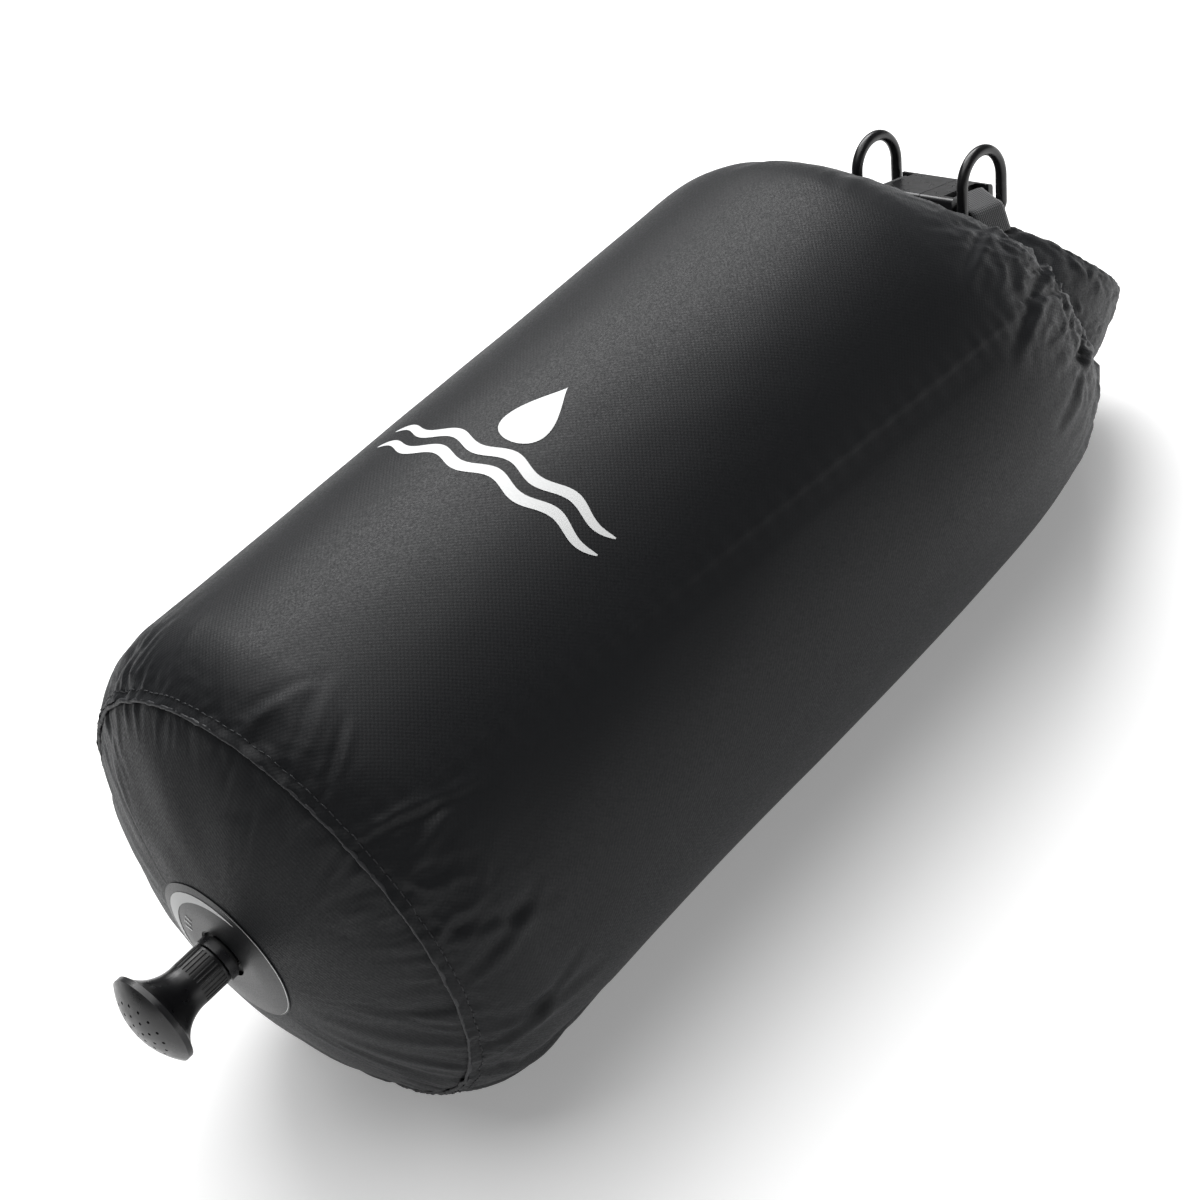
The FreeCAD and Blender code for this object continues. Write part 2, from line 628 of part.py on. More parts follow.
def make_plug():
    """The male half: a fork like the socket's, with a centre tongue that guides it."""
    body = new_body("buckle_plug_body")
    face = "(-dims.mouth_offset - dims.part_gap)"
    buckle_end(body, -1, face)
    pad(body, "tongue", "XY_Plane",
        lambda sketch: draw_box(sketch, ("-1.5", f"{face} - 1"), ("1.5", f"{face} + dims.cavity_depth - 2")),
        "2 * dims.prong_half")
    place_on_buckle(body, "buckle_plug")


def make_prong(label, side):
    """One springy prong, whose barbed button fills the socket's window."""
    body = new_body(f"{label}_body")
    root = "(-dims.mouth_offset + 0.1)"
    outer = "(dims.cavity_half - 0.4)"
    inner = f"({outer} - 2.2)"
    barb = f"({HALF_WIDTH} - 0.5)"
    start = "(-dims.mouth_offset + dims.window_start + dims.part_gap)"
    stop = f"({start} + dims.window_length - 2 * dims.part_gap)"
    path = [(inner, root), (outer, root), (outer, start), (barb, start), (barb, f"{stop} - 2.5"),
            (outer, stop), (f"{outer} - 0.6", f"{stop} + 2"), (inner, f"{stop} + 2")]
    corners = [(f"{side} * ({x})", y) for x, y in path]
    pad(body, "prong", "XY_Plane", lambda sketch: draw_outline(sketch, corners), "2 * dims.prong_half")
    place_on_buckle(body, label)


def make_webbing(label, side):
    """A doubled strap: an eye round the buckle's bar, an eye round the D-ring's bar, a tail sewn into the roll."""
    body = new_body(f"{label}_body")
    bar = f"{side} * dims.bar_offset"
    ring = f"{side} * dims.dring_offset"
    half = "dims.strap_thickness"
    low = "-dims.dring_drop"
    reach = f"{side} * (dims.dring_offset + dims.tail_length * cos(dims.tail_slope * 1 deg))"
    fall = "dims.tail_length * sin(dims.tail_slope * 1 deg)"
    corners = [(bar, f"2 * {half}"), (ring, f"{low} + 2 * {half}"), (reach, f"{low} + 2 * {half} - {fall}"),
               (reach, f"{low} - {half} - {fall}"), (ring, f"{low} - {half}"), (bar, f"-{half}")]
    pad(body, "strap", "YZ_Plane", lambda sketch: draw_outline(sketch, corners), "dims.strap_width")
    eyes = {"bar_eye": (bar, "0", "dims.bar_radius"), "ring_eye": (ring, low, "dims.dring_section")}
    for name, (along, out, rod) in eyes.items():
        pad(body, name, "YZ_Plane",
            lambda sketch: draw_circle(sketch, along, out, f"{rod} + dims.part_gap + dims.strap_thickness"),
            "dims.strap_width")
    for name, (along, out, rod) in eyes.items():
        pocket(body, f"{name}_hole", "YZ_Plane",
               lambda sketch: draw_circle(sketch, along, out, f"{rod} + dims.part_gap"),
               "dims.strap_width + 2")
    return place_on_buckle(body, label)


def make_dring(label, side):
    """A moulded D-ring: a round rod along a straight bar, two corners, two legs and a half-round bow."""
    body = new_body(f"{label}_body")
    path = new_sketch(body, "XZ_Plane", "centre_line")
    half = "(dims.dring_inner / 2 + dims.dring_section)"
    corners = [("0", "0"), (f"{half} - dims.dring_corner", "0"), (half, "dims.dring_corner"),
               (half, "dims.dring_straight"), (f"-{half}", "dims.dring_straight"), (f"-{half}", "dims.dring_corner"),
               (f"-{half} + dims.dring_corner", "0")]
    draw_outline(path, corners, {1: ("dims.dring_corner", 1), 3: (f"{half} + 0.0001", 1),
                                 5: ("dims.dring_corner", 1)})
    rod = new_sketch(body, "YZ_Plane", "rod_section")
    draw_circle(rod, "0", "0", "dims.dring_section")
    pipe = body.newObject("PartDesign::AdditivePipe", "rod")
    pipe.Profile = rod
    pipe.Spine = path
    place(body, label, x=f"{BUCKLE_X} - dims.dring_drop * sin(dims.buckle_pitch * 1 deg)",
          y=f"{side} * dims.dring_offset", z=f"{BUCKLE_Z} - dims.dring_drop * cos(dims.buckle_pitch * 1 deg)",
          pitch="dims.buckle_pitch")


# ---------------------------------------------------------------- build and write

def check_and_export():
    """Stop on any failed object or bad solid, then write one STEP file per piece."""
    for item in doc.Objects:
        if any(word in str(state) for state in item.State for word in ("Invalid", "Error")):
            raise RuntimeError(f"{item.Name} did not build: {item.State}")
    for piece in finished:
        shape = piece.Shape
        if shape.isNull() or not shape.isValid() or len(shape.Solids) != 1:
            raise RuntimeError(f"{piece.Label}: {len(shape.Solids)} solids, valid {shape.isValid()}")
    os.makedirs("parts", exist_ok=True)
    for piece in finished:
        piece.Shape.exportStep(f"parts/{piece.Label}.step")
        box = piece.Shape.BoundBox
        print(f"{piece.Label:16s} {piece.Shape.Volume:10.1f} mm3  X {box.XMin:7.1f} {box.XMax:7.1f}"
              f"  Y {box.YMin:6.1f} {box.YMax:6.1f}  Z {box.ZMin:6.1f} {box.ZMax:6.1f}")


def build():
    """Make every piece, from the fabric shell to the D-rings."""
    make_bag_tube()
    make_base_panel()
    make_base_patch()
    make_base_seam()
    make_tapes()
    make_spigot()
    make_washer("inner_gasket", "(-dims.base_depth + dims.bag_wall)", FLANGE_OUT, SLIP, "dims.gasket_radius")
    make_washer("outer_gasket", PANEL_OUT, NUT_START, SLIP, "dims.nut_radius - dims.nut_chamfer")
    make_washer("clamp_nut", NUT_START, NUT_END, SLIP, "dims.nut_radius")
    make_poppet()
    make_rose()
    make_spray_plate()
    make_socket()
    make_plug()
    make_prong("prong_front", 1)
    make_prong("prong_back", -1)
    straps = {"left": make_webbing("webbing_left", 1), "right": make_webbing("webbing_right", -1)}
    make_dring("dring_left", 1)
    make_dring("dring_right", -1)
    doc.recompute()
    make_roll(straps)
    doc.recompute()
    check_and_export()


build()
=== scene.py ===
"""Looks of the portable camp shower bag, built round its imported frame.

The bag lies on its back. Its fabric is one inflated envelope with a seam round the base, a side seam, a
shoulder that closes over the mouth, and a rolled mouth bent into a ring. The valve, the buckle and the D-rings
are the frame's own moulded pieces and get their finishes here.
"""
import json
import logging
import math
from dataclasses import dataclass, field
from enum import Enum
from typing import Callable, Iterable, Sequence

import bpy
import numpy as np
from mathutils import Matrix, Vector, noise
from mathutils.bvhtree import BVHTree


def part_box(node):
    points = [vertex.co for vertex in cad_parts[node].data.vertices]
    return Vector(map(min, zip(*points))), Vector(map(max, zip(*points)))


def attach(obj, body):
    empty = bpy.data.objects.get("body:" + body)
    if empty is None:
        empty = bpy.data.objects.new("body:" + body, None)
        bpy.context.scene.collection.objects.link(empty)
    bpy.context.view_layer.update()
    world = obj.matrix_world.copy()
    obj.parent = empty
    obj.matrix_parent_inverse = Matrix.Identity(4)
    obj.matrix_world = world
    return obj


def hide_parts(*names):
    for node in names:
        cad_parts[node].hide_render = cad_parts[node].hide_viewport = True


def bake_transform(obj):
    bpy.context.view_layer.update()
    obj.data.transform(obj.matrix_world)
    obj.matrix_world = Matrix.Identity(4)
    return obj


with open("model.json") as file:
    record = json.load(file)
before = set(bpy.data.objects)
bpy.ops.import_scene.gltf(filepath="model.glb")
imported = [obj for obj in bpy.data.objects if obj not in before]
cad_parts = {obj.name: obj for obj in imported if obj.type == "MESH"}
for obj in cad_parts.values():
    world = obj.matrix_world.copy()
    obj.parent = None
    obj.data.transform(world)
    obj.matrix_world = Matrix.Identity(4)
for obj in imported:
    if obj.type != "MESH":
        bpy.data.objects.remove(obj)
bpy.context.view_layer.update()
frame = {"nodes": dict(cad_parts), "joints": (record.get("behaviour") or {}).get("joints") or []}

MM = 0.001
NOISE_SEED = 7  # fixes the offsets of noise_vector, which would otherwise follow the clock

Piece = bpy.types.Object
Tree = bpy.types.NodeTree
Socket = bpy.types.NodeSocket
Array = np.ndarray
Skin = tuple[np.ndarray, list]  # points and faces

log = logging.getLogger("camp_shower_bag")


# ---- colour and shader helpers

def linear(hex_colour: str) -> tuple[float, float, float, float]:
    """Turn an sRGB hex colour into linear RGBA.

    Args:
        hex_colour: six hex digits after a hash sign.

    Returns:
        Linear red, green, blue and an alpha of 1.
    """
    digits = hex_colour.lstrip("#")
    channels = [int(digits[i:i + 2], 16) / 255 for i in (0, 2, 4)]
    curve = [c / 12.92 if c <= 0.04045 else ((c + 0.055) / 1.055) ** 2.4 for c in channels]
    return (*curve, 1.0)


def add_node(tree: Tree, kind: str, links: dict | None = None, **settings: object) -> bpy.types.Node:
    """Add a shader node with its settings and its links.

    Args:
        tree: the material's node tree.
        kind: the node's type, without the ShaderNode prefix.
        links: input name or index, to an output socket or a constant.
        settings: attributes of the node itself.

    Returns:
        The new node.
    """
    node = tree.nodes.new(f"ShaderNode{kind}")
    for key, setting in settings.items():
        setattr(node, key, setting)
    for key, source in (links or {}).items():
        if isinstance(source, Socket):
            tree.links.new(source, node.inputs[key])
        else:
            node.inputs[key].default_value = source
    return node


class Mapping(Enum):
    """How a woven pattern lies on a piece."""

    ROUND_THE_AXIS = "arc length round the bag's axis, and length along it"
    ACROSS_THE_BASE = "flat across the base panel"


def new_material(name: str) -> tuple[bpy.types.Material, Tree, bpy.types.Node]:
    """Start a node material with an empty tree.

    Args:
        name: the material's name.

    Returns:
        The material, its tree, and the node that gives its coordinates.
    """
    material = bpy.data.materials.new(name)
    material.use_nodes = True
    material.node_tree.nodes.clear()
    return material, material.node_tree, add_node(material.node_tree, "TexCoord")


# ---- finishes

@dataclass(frozen=True)
class CoatedNylon:
    """70-denier nylon taffeta, plain woven, calendered and coated inside.

    The calender flattens the yarns, which gives a soft satin sheen with a fine sparkle. The real thread spacing
    of 0.25 mm is too fine to show, so it is drawn at thread_mm.
    """

    name: str = "coated_nylon_taffeta"
    colour: str = "#151618"
    mottle: str = "#1A1B1D"
    roughness: float = 0.53
    thread_mm: float = 0.85
    weave_depth: float = 0.16
    mapping: Mapping = Mapping.ROUND_THE_AXIS

    def coordinates(self, tree: Tree, axis_height: float) -> tuple:
        """Two sockets, in metres, along the two sets of threads.

        Args:
            tree: the material's node tree.
            axis_height: height of the bag's axis above the floor, in metres.

        Returns:
            The sockets along the weft and the warp.
        """
        place = add_node(tree, "TexCoord")
        split = add_node(tree, "SeparateXYZ", {0: place.outputs["Object"]})
        if self.mapping is Mapping.ACROSS_THE_BASE:
            return split.outputs["Y"], split.outputs["Z"]
        height = add_node(tree, "Math", {0: split.outputs["Z"], 1: axis_height}, operation="SUBTRACT")
        angle = add_node(tree, "Math", {0: split.outputs["Y"], 1: height.outputs[0]}, operation="ARCTAN2")
        arc = add_node(tree, "Math", {0: angle.outputs[0], 1: 95 * MM}, operation="MULTIPLY")
        return arc.outputs[0], split.outputs["X"]

    def threads(self, tree: Tree, axis_height: float) -> Socket:
        """A height pattern of yarns that cross over and under.

        Args:
            tree: the material's node tree.
            axis_height: height of the bag's axis above the floor, in metres.

        Returns:
            The socket with the pattern, from -1 to 1.
        """
        waves = []
        for socket in self.coordinates(tree, axis_height):
            turns = add_node(tree, "Math", {0: socket, 1: math.pi / (self.thread_mm * MM)}, operation="MULTIPLY")
            waves.append(add_node(tree, "Math", {0: turns.outputs[0]}, operation="SINE").outputs[0])
        return add_node(tree, "Math", {0: waves[0], 1: waves[1]}, operation="MULTIPLY").outputs[0]

    def material(self, axis_height: float) -> bpy.types.Material:
        """Build the node material."""
        material, tree, place = new_material(self.name)
        cloud = add_node(tree, "TexNoise", {"Vector": place.outputs["Object"], "Scale": 9.0, "Detail": 3.0})
        tint = add_node(tree, "Mix", {0: cloud.outputs["Fac"], 6: linear(self.colour), 7: linear(self.mottle)},
                        data_type="RGBA")
        grain = add_node(tree, "TexNoise", {"Vector": place.outputs["Object"], "Scale": 1250.0, "Detail": 2.0})
        gloss = add_node(tree, "MapRange", {0: grain.outputs["Fac"], 1: 0.3, 2: 0.7,
                                            3: self.roughness - 0.1, 4: self.roughness + 0.1})
        yarns = add_node(tree, "Bump", {"Strength": self.weave_depth, "Distance": 0.12 * MM,
                                        "Height": self.threads(tree, axis_height)})
        speck = add_node(tree, "Bump", {"Strength": 0.4, "Distance": 0.1 * MM, "Height": grain.outputs["Fac"],
                                        "Normal": yarns.outputs[0]})
        shader = add_node(tree, "BsdfPrincipled", {
            "Base Color": tint.outputs[2], "Roughness": gloss.outputs[0], "Normal": speck.outputs[0],
            "Sheen Weight": 0.06, "Sheen Roughness": 0.4, "Sheen Tint": linear("#A9ADB4"), "Specular IOR Level": 0.2})
        add_node(tree, "OutputMaterial", {"Surface": shader.outputs[0]})
        return material


@dataclass(frozen=True)
class MouldedAcetal:
    """Black acetal, injection moulded.

    A polished mould gives a semi-gloss skin, with faint flow unevenness; its sharp edges carry a painted highlight, a
    lighter grey mixed in along them.
    """

    name: str = "moulded_acetal"
    colour: str = "#0E0E10"
    roughness: float = 0.3
    ripple: float = 0.12

    def material(self) -> bpy.types.Material:
        """Build the node material."""
        material, tree, place = new_material(self.name)
        flow = add_node(tree, "TexNoise", {"Vector": place.outputs["Object"], "Scale": 260.0, "Detail": 4.0})
        grit = add_node(tree, "TexNoise", {"Vector": place.outputs["Object"], "Scale": 2400.0, "Detail": 2.0})
        gloss = add_node(tree, "MapRange", {0: flow.outputs["Fac"], 1: 0.3, 2: 0.7,
                                            3: self.roughness - 0.06, 4: self.roughness + 0.09})
        # Painted highlight: sharp convex edges, found by pointiness, are mixed towards a lighter grey.
        edge_shape = add_node(tree, "NewGeometry")
        painted_edge_highlight = add_node(tree, "MapRange", {0: edge_shape.outputs["Pointiness"], 1: 0.52, 2: 0.62, 3: 0.0, 4: 0.35})
        tint = add_node(tree, "Mix", {0: painted_edge_highlight.outputs[0], 6: linear(self.colour), 7: linear("#2A2A2D")},
                        data_type="RGBA")
        skin = add_node(tree, "Bump", {"Strength": self.ripple, "Distance": 0.1 * MM, "Height": grit.outputs["Fac"]})
        shader = add_node(tree, "BsdfPrincipled", {"Base Color": tint.outputs[2], "Roughness": gloss.outputs[0],
                                                   "Normal": skin.outputs[0], "Specular IOR Level": 0.5})
        add_node(tree, "OutputMaterial", {"Surface": shader.outputs[0]})
        return material


@dataclass(frozen=True)
class NylonWebbing:
    """20 mm nylon tape webbing, woven flat: ribs run across it, and it is duller and greyer than the shell. The dips
    between its ribs get painted shade, a darker colour.
    """

    name: str = "nylon_webbing"
    colour: str = "#2C2D30"
    rib_valley_shade: str = "#1B1C1E"
    rib_mm: float = 0.8
    yarn_mm: float = 1.1

    def material(self) -> bpy.types.Material:
        """Build the node material."""
        material, tree, place = new_material(self.name)
        flat = add_node(tree, "SeparateXYZ", {0: place.outputs["UV"]})
        waves = []
        for socket, pitch in ((flat.outputs["X"], self.rib_mm), (flat.outputs["Y"], self.yarn_mm)):
            turns = add_node(tree, "Math", {0: socket, 1: 2 * math.pi / (pitch * MM)}, operation="MULTIPLY")
            waves.append(add_node(tree, "Math", {0: turns.outputs[0]}, operation="SINE").outputs[0])
        rib = add_node(tree, "Math", {0: waves[0], 1: waves[1]}, operation="ADD")
        fuzz = add_node(tree, "TexNoise", {"Vector": place.outputs["Object"], "Scale": 1500.0, "Detail": 3.0})
        rough = add_node(tree, "Math", {0: rib.outputs[0], 1: fuzz.outputs["Fac"]}, operation="ADD")
        # Painted shade: where the rib height is low, the colour moves towards the darker valley shade.
        level = add_node(tree, "MapRange", {0: rough.outputs[0], 1: -1.4, 2: 2.4, 3: 0.0, 4: 1.0})
        tint = add_node(tree, "Mix", {0: level.outputs[0], 6: linear(self.rib_valley_shade), 7: linear(self.colour)},
                        data_type="RGBA")
        relief = add_node(tree, "Bump", {"Strength": 0.35, "Distance": 0.2 * MM, "Height": rough.outputs[0]})
        shader = add_node(tree, "BsdfPrincipled", {"Base Color": tint.outputs[2], "Normal": relief.outputs[0],
                                                   "Roughness": 0.78, "Sheen Weight": 0.4})
        add_node(tree, "OutputMaterial", {"Surface": shader.outputs[0]})
        return material


@dataclass(frozen=True)
class PlainFinish:
    """A simple finish with grain: thread, ink, rubber, spring steel or tape.

    The grain is the surface that the real stuff is made with: twisted filament, screen-printed ink over cloth,
    a matt rubber mould, drawn wire or a rolled polymer film.
    """

    name: str
    colour: str
    roughness: float
    grain_mm: float = 0.4
    grain_depth: float = 0.2
    metallic: float = 0.0
    variation: float = 0.15

    def material(self) -> bpy.types.Material:
        """Build the node material."""
        material, tree, place = new_material(self.name)
        grain = add_node(tree, "TexNoise", {"Vector": place.outputs["Object"], "Scale": 1 / (self.grain_mm * MM),
                                            "Detail": 3.0})
        patch = add_node(tree, "TexNoise", {"Vector": place.outputs["Object"], "Scale": 45.0, "Detail": 2.0})
        base = linear(self.colour)
        dark = tuple(channel * (1 - self.variation) for channel in base[:3]) + (1.0,)
        tint = add_node(tree, "Mix", {0: patch.outputs["Fac"], 6: base, 7: dark}, data_type="RGBA")
        gloss = add_node(tree, "MapRange", {0: grain.outputs["Fac"], 1: 0.3, 2: 0.7,
                                            3: self.roughness - 0.06, 4: min(1.0, self.roughness + 0.06)})
        relief = add_node(tree, "Bump", {"Strength": self.grain_depth, "Distance": 0.1 * MM,
                                         "Height": grain.outputs["Fac"]})
        shader = add_node(tree, "BsdfPrincipled", {"Base Color": tint.outputs[2], "Roughness": gloss.outputs[0],
                                                   "Normal": relief.outputs[0], "Metallic": self.metallic})
        add_node(tree, "OutputMaterial", {"Surface": shader.outputs[0]})
        return material


# ---- mesh helpers

def off_by(degrees: Array, middle: Array | float) -> Array:
    """How far angles lie from a middle one, in degrees from -180 to 180."""
    return (degrees - middle + 180) % 360 - 180


def make_mesh(name: str, points: Array, faces: Sequence[Sequence[int]]) -> Piece:
    """Make a smooth-shaded mesh object in the scene.

    Args:
        name: the piece's name.
        points: an (n, 3) array, in metres.
        faces: corner indices of each face.

    Returns:
        The new object.
    """
    mesh = bpy.data.meshes.new(name)
    mesh.from_pydata([tuple(p) for p in points.reshape(-1, 3)], [], [tuple(f) for f in faces])
    mesh.validate()
    mesh.update()
    for polygon in mesh.polygons:
        polygon.use_smooth = True
    piece = bpy.data.objects.new(name, mesh)
    bpy.context.scene.collection.objects.link(piece)
    return piece


def grid_faces(rows: int, columns: int, closed: bool) -> list[tuple[int, int, int, int]]:
    """Quads of a grid of points.

    Args:
        rows: number of rows of points.
        columns: number of points in a row.
        closed: whether the last column joins the first.

    Returns:
        Corner indices of each quad.
    """
    last = columns if closed else columns - 1
    return [(r * columns + c, r * columns + (c + 1) % columns,
             (r + 1) * columns + (c + 1) % columns, (r + 1) * columns + c)
            for r in range(rows - 1) for c in range(last)]


def grid_normals(points: Array, closed: bool) -> Array:
    """Unit normals of a grid of points, from the differences along its rows and columns."""
    if closed:
        across = np.roll(points, -1, axis=1) - np.roll(points, 1, axis=1)
    else:
        across = np.gradient(points, axis=1)
    along = np.gradient(points, axis=0)
    normals = np.cross(along, across)
    return normals / np.maximum(np.linalg.norm(normals, axis=2, keepdims=True), 1e-12)


def tube_along(path: Array, radius: float, sides: int, flatten: float = 1.0, closed: bool = False) -> Skin:
    """Points and faces of a rod along a path.

    Args:
        path: an (n, 3) array of points.
        radius: half the rod's width.
        sides: corners of its section.
        flatten: height of the section over its width.
        closed: whether the path is a loop.

    Returns:
        The points and the faces.
    """
    step = np.roll(path, -1, axis=0) - np.roll(path, 1, axis=0) if closed else np.gradient(path, axis=0)
    step /= np.linalg.norm(step, axis=1, keepdims=True)
    side = np.cross(step, (1.0, 0.0, 0.0))
    side /= np.linalg.norm(side, axis=1, keepdims=True)
    top = np.cross(side, step)
    turn = np.linspace(0, 2 * math.pi, sides, endpoint=False)
    ring = (path[:, None] + radius * (np.cos(turn)[None, :, None] * side[:, None]
                                      + flatten * np.sin(turn)[None, :, None] * top[:, None]))
    count = len(path)
    faces = grid_faces(count, sides, True)
    if closed:
        faces += [((count - 1) * sides + c, (count - 1) * sides + (c + 1) % sides, (c + 1) % sides, c)
                  for c in range(sides)]
    else:
        faces += [tuple(range(sides))[::-1], tuple((count - 1) * sides + c for c in range(sides))]
    return ring.reshape(-1, 3), faces


def joined(chunks: Iterable[Skin]) -> Skin:
    """Join several (points, faces) pairs into one."""
    points, faces, start = [], [], 0
    for chunk_points, chunk_faces in chunks:
        points.append(chunk_points)
        faces.extend(tuple(index + start for index in face) for face in chunk_faces)
        start += len(chunk_points)
    return np.concatenate(points), faces


def ripples(seed: int, angle: Array, along: Array | float, turns: tuple[int, int],
            lengths_mm: tuple[float, float] = (1e5, 2e5), count: int = 14) -> Array:
    """Seeded sums of waves that repeat round the bag, for creases that look worn in rather than ruled.

    Args:
        seed: starts the random draws.
        angle: angle round the axis, in radians.
        along: distance along the fabric, in metres.
        turns: least and most waves in a full turn.
        lengths_mm: shortest and longest wave along the fabric.
        count: how many waves are added up.

    Returns:
        Heights of about -1 to 1.
    """
    dice = np.random.default_rng(seed)
    total = np.zeros(np.broadcast(angle, along).shape)
    for _ in range(count):
        waves = int(dice.integers(turns[0], turns[1] + 1))
        length = dice.uniform(*lengths_mm) * MM
        lean = dice.choice((-1, 1))
        phase = dice.uniform(0, 2 * math.pi)
        total += np.sin(waves * angle + lean * 2 * math.pi * along / length + phase)
    return total / math.sqrt(count)


def puffs(points: Array, grain_mm: tuple[float, float, float], seed: float, warp: float = 0.6) -> Array:
    """Rounded puffs parted by sharp valleys, as thin cloth shows where it is gathered.

    Args:
        points: positions in metres, shape (rows, columns, 3).
        grain_mm: size of a puff along each axis of the frame.
        seed: shifts the pattern.
        warp: how far the valleys wander, in puffs.

    Returns:
        Heights from 0 in a valley to about 1 on a puff, shape (rows, columns).
    """
    scaled = points.reshape(-1, 3) / (np.array(grain_mm) * MM) + seed * 17.3
    heights = np.empty(len(scaled))
    for index, (x, y, z) in enumerate(scaled):
        spot = Vector((x, y, z))
        spot += warp * noise.noise_vector(spot * 0.45)
        heights[index] = abs(noise.noise(spot)) + 0.35 * abs(noise.noise(spot * 2.1))
    return np.clip(heights * 1.5, 0, 1.4).reshape(points.shape[:-1])


# ---- the bag's form

@dataclass
class BagForm:
    """Sizes of the bag in millimetres, and the inflated form that they give, before any crease."""

    radius: float = 95.0
    seam_radius: float = 83.5
    taper: float = 27.0
    straight: float = 288.0
    base_depth: float = 25.4
    base_flat: float = 17.0
    columns: int = 480
    # shoulder stations: distance past the straight tube, drop below the axis, radius, tilt in degrees
    stations: tuple = ((0.0, 0.0, 95.0, 0.0), (22.0, -0.5, 94.3, 5.0), (44.0, -2.2, 91.0, 10.5),
                       (62.0, -4.2, 83.5, 15.5), (76.0, -7.2, 72.5, 21.0), (83.5, -10.0, 60.0, 27.0),
                       (87.3, -12.0, 47.0, 32.0), (88.5, -12.5, 30.0, 32.0), (90.0, -13.0, 12.0, 32.0),
                       (90.3, -13.2, 1.0, 32.0))
    side_shift: float = 3.0
    full_corner: float = 52.0
    corner_reach: float = 9.0
    seam_x: float = field(init=False)
    axis_z: float = field(init=False)

    def __post_init__(self) -> None:
        """Take the seam's place and the axis's height from the frame."""
        self.seam_x = float(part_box("base_panel")[1][0])
        low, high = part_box("rose_body")
        self.axis_z = float(low[2] + high[2]) / 2

    @property
    def angles(self) -> Array:
        """Angle of each column from the front, turning towards -Y."""
        return np.linspace(0, 2 * math.pi, self.columns, endpoint=False)

    def narrowing(self, x_mm: Array) -> Array:
        """Radius of the tube near the base seam, an arc that ends tangent to the straight wall."""
        fall = self.radius - self.seam_radius
        bend = (self.taper ** 2 + fall ** 2) / (2 * fall)
        short = np.clip(self.taper - x_mm, 0, None)
        return self.radius - (bend - np.sqrt(bend ** 2 - short ** 2))

    def sections(self) -> Array:
        """Rows of (distance from the seam, drop, radius, tilt in degrees), from the base seam to the lid."""
        near = np.concatenate([np.linspace(0, self.taper, 38), np.linspace(self.taper, self.straight, 112)[1:-1]])
        tube = np.stack([near, 0 * near, self.narrowing(near), 0 * near], axis=1)
        stations = np.array(self.stations)
        knots = np.concatenate([[0], np.cumsum(np.linalg.norm(np.diff(stations[:, :3], axis=0), axis=1))])
        fine = np.linspace(0, knots[-1], 104)
        shoulder = np.stack([smooth_through(knots, stations[:, k], fine) for k in range(4)], axis=1)
        shoulder[:, 0] += self.straight
        return np.concatenate([tube, shoulder])

    def surface(self) -> tuple[Array, Array]:
        """The envelope's grid of points in metres, and each row's distance along the fabric.

        Returns:
            Points with shape (rows, columns, 3), and distances with shape (rows,).
        """
        rows = self.sections()
        turn = self.angles[None, :]
        tilt = np.radians(rows[:, 3])[:, None]
        out = rows[:, 2][:, None] * np.cos(turn)
        points = np.empty((len(rows), self.columns, 3))
        points[..., 0] = rows[:, 0][:, None] - out * np.sin(tilt)
        lean = self.side_shift * np.clip((rows[:, 0] - self.straight + 40) / 90, 0, 1) ** 2
        points[..., 1] = lean[:, None] - rows[:, 2][:, None] * np.sin(turn)
        points[..., 2] = rows[:, 1][:, None] + out * np.cos(tilt)
        past = rows[:, 0] - self.straight
        corner = np.clip((past - 25) / 40, 0, 1) ** 1.5 * np.clip((rows[:, 2] - 48) / 20, 0, 1)
        degrees = np.degrees(self.angles)[None, :]
        full = np.exp(-(off_by(degrees, self.full_corner) / 27.0) ** 2)
        points[..., 0] += self.corner_reach * corner[:, None] * full
        steps = np.linalg.norm(np.diff(points.mean(axis=1), axis=0), axis=1) + np.abs(np.diff(rows[:, 2]))
        distance = np.concatenate([[0], np.cumsum(steps)]) * MM
        return self.placed(points), distance

    def placed(self, points_mm: Array) -> Array:
        """Move points given from the bag's own datum, in millimetres, into the frame, in metres."""
        points = points_mm * MM
        points[..., 0] += self.seam_x
        points[..., 2] += self.axis_z
        return points

    def laid_down(self, points: Array) -> Array:
        """Flatten whatever would sink into the floor, with a soft edge."""
        soft = 1.2 * MM
        height = points[..., 2]
        points[..., 2] = np.where(height < soft, soft * np.exp(np.clip(height - soft, -0.05, 0) / soft) * 0.6
                                  + soft * 0.4, height) - soft * 0.35
        return points


def smooth_through(knots: Array, values: Array, at: Array) -> Array:
    """A smooth curve through values at knots, with no overshoot beyond neighbours that are equal.

    Args:
        knots: increasing positions.
        values: the value at each.
        at: where to read the curve.

    Returns:
        The curve's values.
    """
    slopes = np.gradient(values, knots)
    flat = np.diff(values)
    for index in range(1, len(values) - 1):
        if flat[index - 1] * flat[index] <= 0:
            slopes[index] = 0
    slopes[0] = 0
    cell = np.clip(np.searchsorted(knots, at, side="right") - 1, 0, len(knots) - 2)
    width = knots[cell + 1] - knots[cell]
    t = (at - knots[cell]) / width
    return ((2 * t ** 3 - 3 * t ** 2 + 1) * values[cell] + (t ** 3 - 2 * t ** 2 + t) * width * slopes[cell]
            + (3 * t ** 2 - 2 * t ** 3) * values[cell + 1] + (t ** 3 - t ** 2) * width * slopes[cell + 1])


